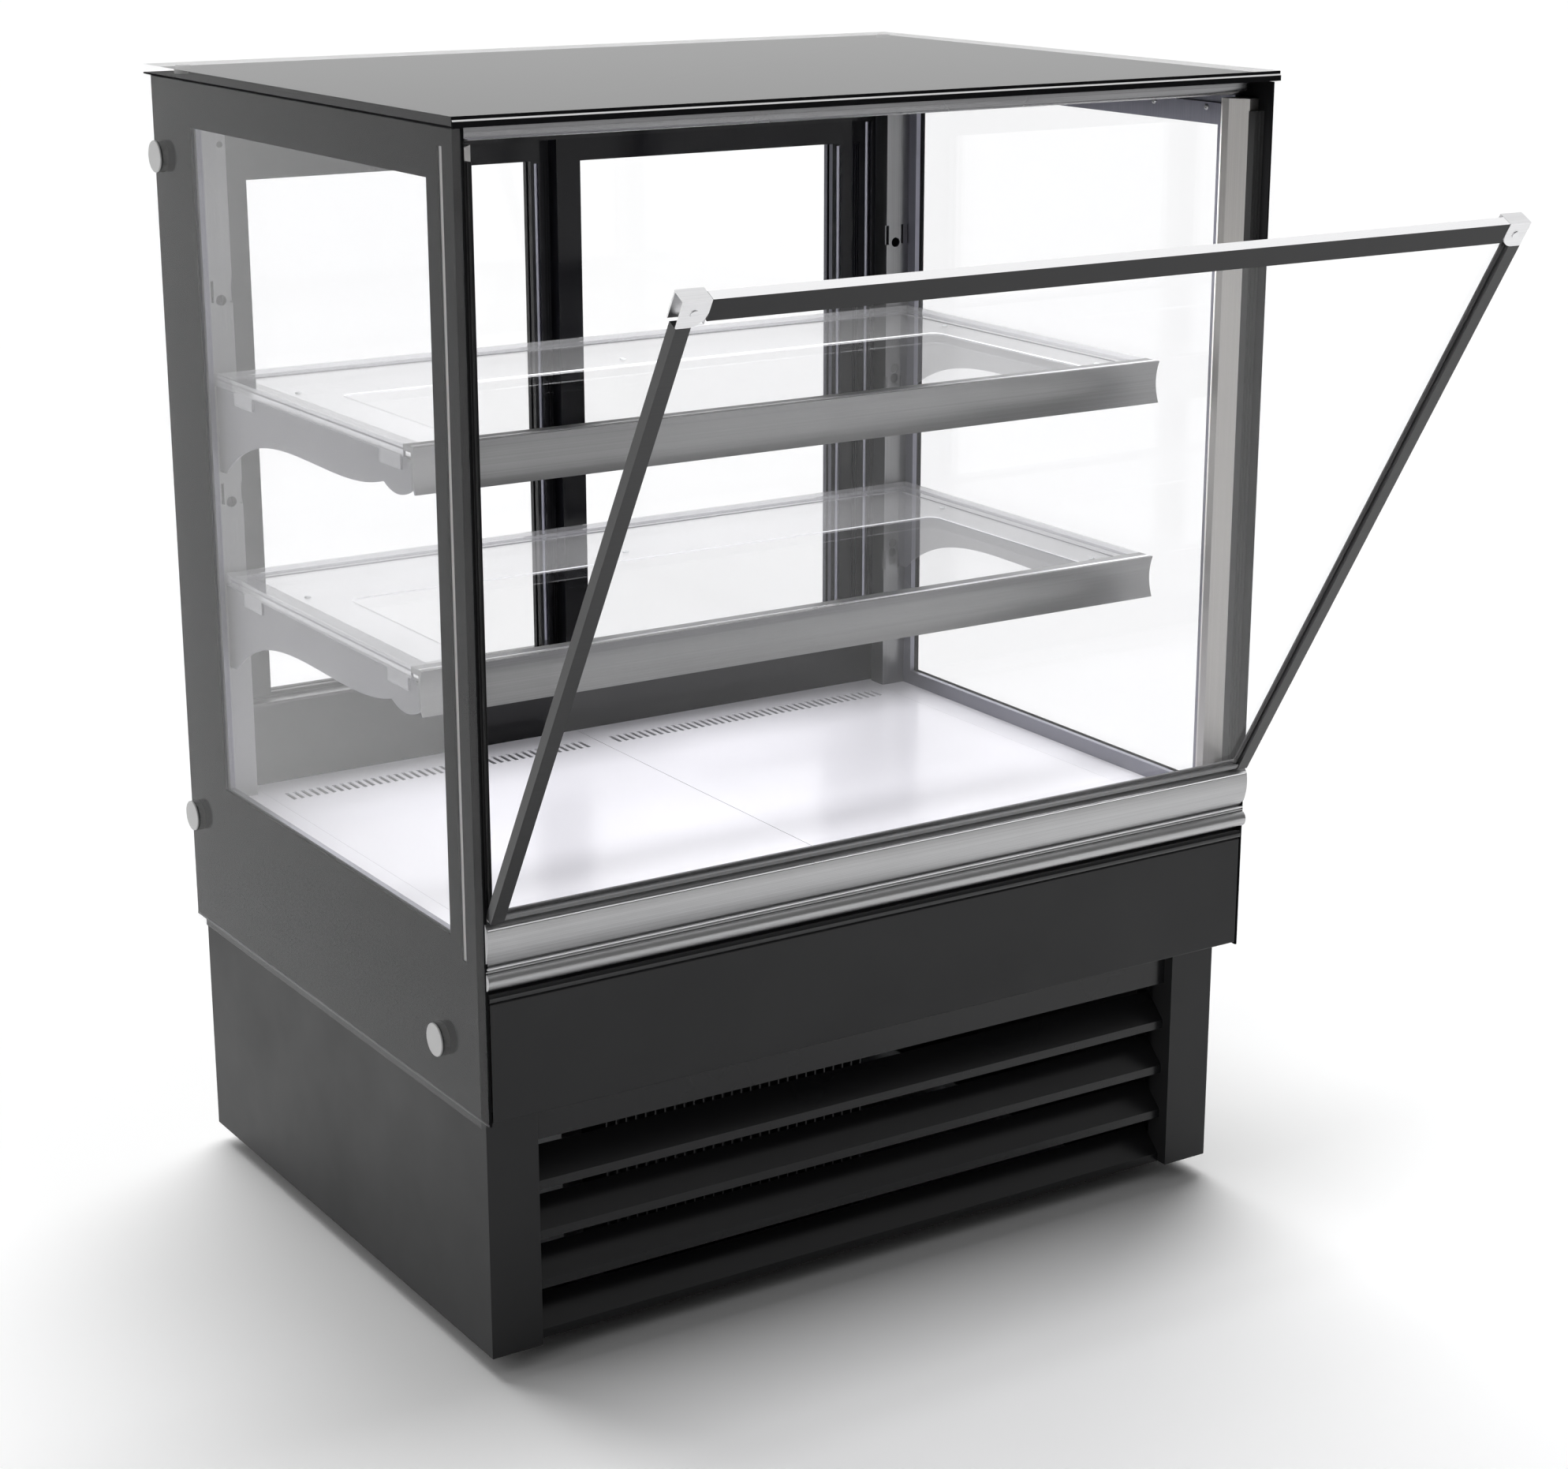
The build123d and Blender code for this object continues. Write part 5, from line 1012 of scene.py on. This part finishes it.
# %% The controller's lamp
lamp_green = moulded(
    "indicator_green", (0.05, 0.42, 0.12), 0.25,
    Emission_Color=(0.1, 0.9, 0.25, 1.0), Emission_Strength=0.4,
)
lamp_spot = (-0.2700, housing_back, 0.4535)
lamp_radius = 0.0016
set_screws(
    "controller_indicator", [lamp_spot], backward, lamp_radius, lamp_green,
    model=nut_model,
)

# %% The models have done their work
for model in (screw_model, nut_model):
    bpy.data.objects.remove(model)
print("models put away")

# %% [markdown]
# The studio
#
# The case stands in an empty white room. The floor is a very large pale sheet that catches the
# shadow. The room itself is the world: a plain soft light for matt surfaces, and plain white for
# what the camera and glass see. Mirrors see the same room, but dimmer low down and towards the
# front, as in a real studio whose lights stand above.

# %% Floor
floor_half = 60.0
floor_mesh = bpy.data.meshes.new("studio_floor")
floor_corners = [(-1, -1), (1, -1), (1, 1), (-1, 1)]
floor_points = [(x * floor_half, y * floor_half, 0.0) for x, y in floor_corners]
floor_mesh.from_pydata(floor_points, [], [(0, 1, 2, 3)])
floor = new_object("studio_floor", floor_mesh)
print("floor:", 2 * floor_half, "metres wide")

# %% Floor paint, a little brighter where it is seen


def seen_rays(tree):
    """One where a ray comes from the camera, a mirror or through glass, and zero elsewhere."""
    path = tree.nodes.new("ShaderNodeLightPath")
    value = path.outputs["Is Camera Ray"]
    for ray in ["Is Glossy Ray", "Is Transmission Ray"]:
        value = combine(tree, "MAXIMUM", value, path.outputs[ray])
    return value


def grey_mix(tree, factor, when_zero, when_one):
    """A grey that goes from one level to another with a factor."""
    ramp = add(tree, "ShaderNodeMapRange", To_Min=when_zero, To_Max=when_one)
    tree.links.new(factor, ramp.inputs["Value"])
    return ramp.outputs["Result"]


floor_lit, floor_seen = 0.90, 1.02
floor_white = bpy.data.materials.new("studio_floor_white")
floor_white.use_nodes = True
floor_tree = floor_white.node_tree
floor_tree.nodes.remove(floor_tree.nodes["Principled BSDF"])
floor_matt = floor_tree.nodes.new("ShaderNodeBsdfDiffuse")
join(floor_tree, (floor_matt, "BSDF", floor_tree.nodes["Material Output"], "Surface"))
floor_tone = grey_mix(floor_tree, seen_rays(floor_tree), floor_lit, floor_seen)
floor_tree.links.new(floor_tone, floor_matt.inputs["Color"])
floor_mesh.materials.append(floor_white)
print("floor paint:", floor_white.name)

# %% The white room, darker towards the front
room = bpy.data.worlds.new("white_room")
room.use_nodes = True
bpy.context.scene.world = room
room_tree = room.node_tree
room_light = room_tree.nodes["Background"]
room_way = room_tree.nodes.new("ShaderNodeTexCoord")


def room_band(aim, start, end, low, high):
    """A grey that changes smoothly with how far a direction turns towards an aim."""
    dot = room_tree.nodes.new("ShaderNodeVectorMath")
    dot.operation = "DOT_PRODUCT"
    dot.inputs[1].default_value = Vector(aim).normalized()
    ramp = add(
        room_tree, "ShaderNodeMapRange", From_Min=start, From_Max=end, To_Min=low, To_Max=high
    )
    ramp.interpolation_type = "SMOOTHSTEP"
    join(room_tree, (room_way, "Generated", dot, 0), (dot, "Value", ramp, "Value"))
    return ramp.outputs["Result"]


ambient, white = 0.30, 1.0
dim_front = room_band((0.2, -1.0, 0.25), 0.2, 0.9, 1.0, 0.25)
bright_above = room_band((0.0, 0.0, 1.0), 0.0, 0.6, 0.55, 1.0)
room_tones = combine(room_tree, "MULTIPLY", dim_front, bright_above)
room_path = room_tree.nodes.new("ShaderNodeLightPath")
room_clear = combine(
    room_tree, "MAXIMUM",
    room_path.outputs["Is Camera Ray"], room_path.outputs["Is Transmission Ray"],
)
room_glossy = grey_mix(room_tree, room_path.outputs["Is Glossy Ray"], ambient, white)
room_seen = combine(room_tree, "MULTIPLY", room_tones, room_glossy)
room_mix = add(room_tree, "ShaderNodeMix", B=white)
room_tree.links.new(room_clear, room_mix.inputs["Factor"])
room_tree.links.new(room_seen, room_mix.inputs["A"])
room_light.inputs["Color"].default_value = (1.0, 1.0, 1.0, 1.0)
join(room_tree, (room_mix, "Result", room_light, "Strength"))
print("room:", room.name, "with", len(room_tree.nodes), "nodes")

# %% [markdown]
# The lamps
#
# The shadow falls to the front, so the key lamp stands high behind the case, and a faint one
# fills in from the left. Both are far away and very wide, which lights the floor evenly and blurs
# the shadow. A small lamp under the top gives the deck and the shelves the light that the
# photograph shows. No lamp shows itself: a mirror or pane would otherwise show a hard bright
# patch.

# %% Lamps
far_spread = math.radians(60.0)


def place_lamp(data, place, aim):
    """Put a lamp at a place, turned to face a point, unseen by the camera and by mirrors."""
    lamp = new_object(data.name, data)
    lamp.location = place
    lamp.rotation_euler = (Vector(aim) - Vector(place)).to_track_quat("-Z", "Y").to_euler()
    lamp.visible_camera = False
    lamp.visible_glossy = False
    return lamp


def far_lamp(name, place, strength):
    """A very far, very wide lamp, which lights the whole floor evenly."""
    data = bpy.data.lights.new(name, "SUN")
    data.energy = strength
    data.angle = far_spread
    place_lamp(data, place, (0.0, 0.0, 0.0))


far_lamp("key_lamp", (0.30, 0.90, 1.25), 2.85)
far_lamp("side_lamp", (-1.0, 0.1, 0.5), 0.32)

canopy_data = bpy.data.lights.new("canopy_lamp", "AREA")
canopy_data.shape = "RECTANGLE"
canopy_data.size = 0.7
canopy_data.size_y = 0.4
canopy_data.energy = 8.0
canopy = place_lamp(canopy_data, (0.0, -0.02, 1.14), (0.0, -0.02, 0.4))
canopy.visible_transmission = False

# %% Plain view, and enough bounces for light to pass many panes
bounces = 24
bpy.context.scene.view_settings.view_transform = "Standard"
bpy.context.scene.cycles.max_bounces = bounces
bpy.context.scene.cycles.transmission_bounces = bounces
bpy.context.scene.cycles.transparent_max_bounces = bounces
print("view:", bpy.context.scene.view_settings.view_transform, "bounces:", bounces)
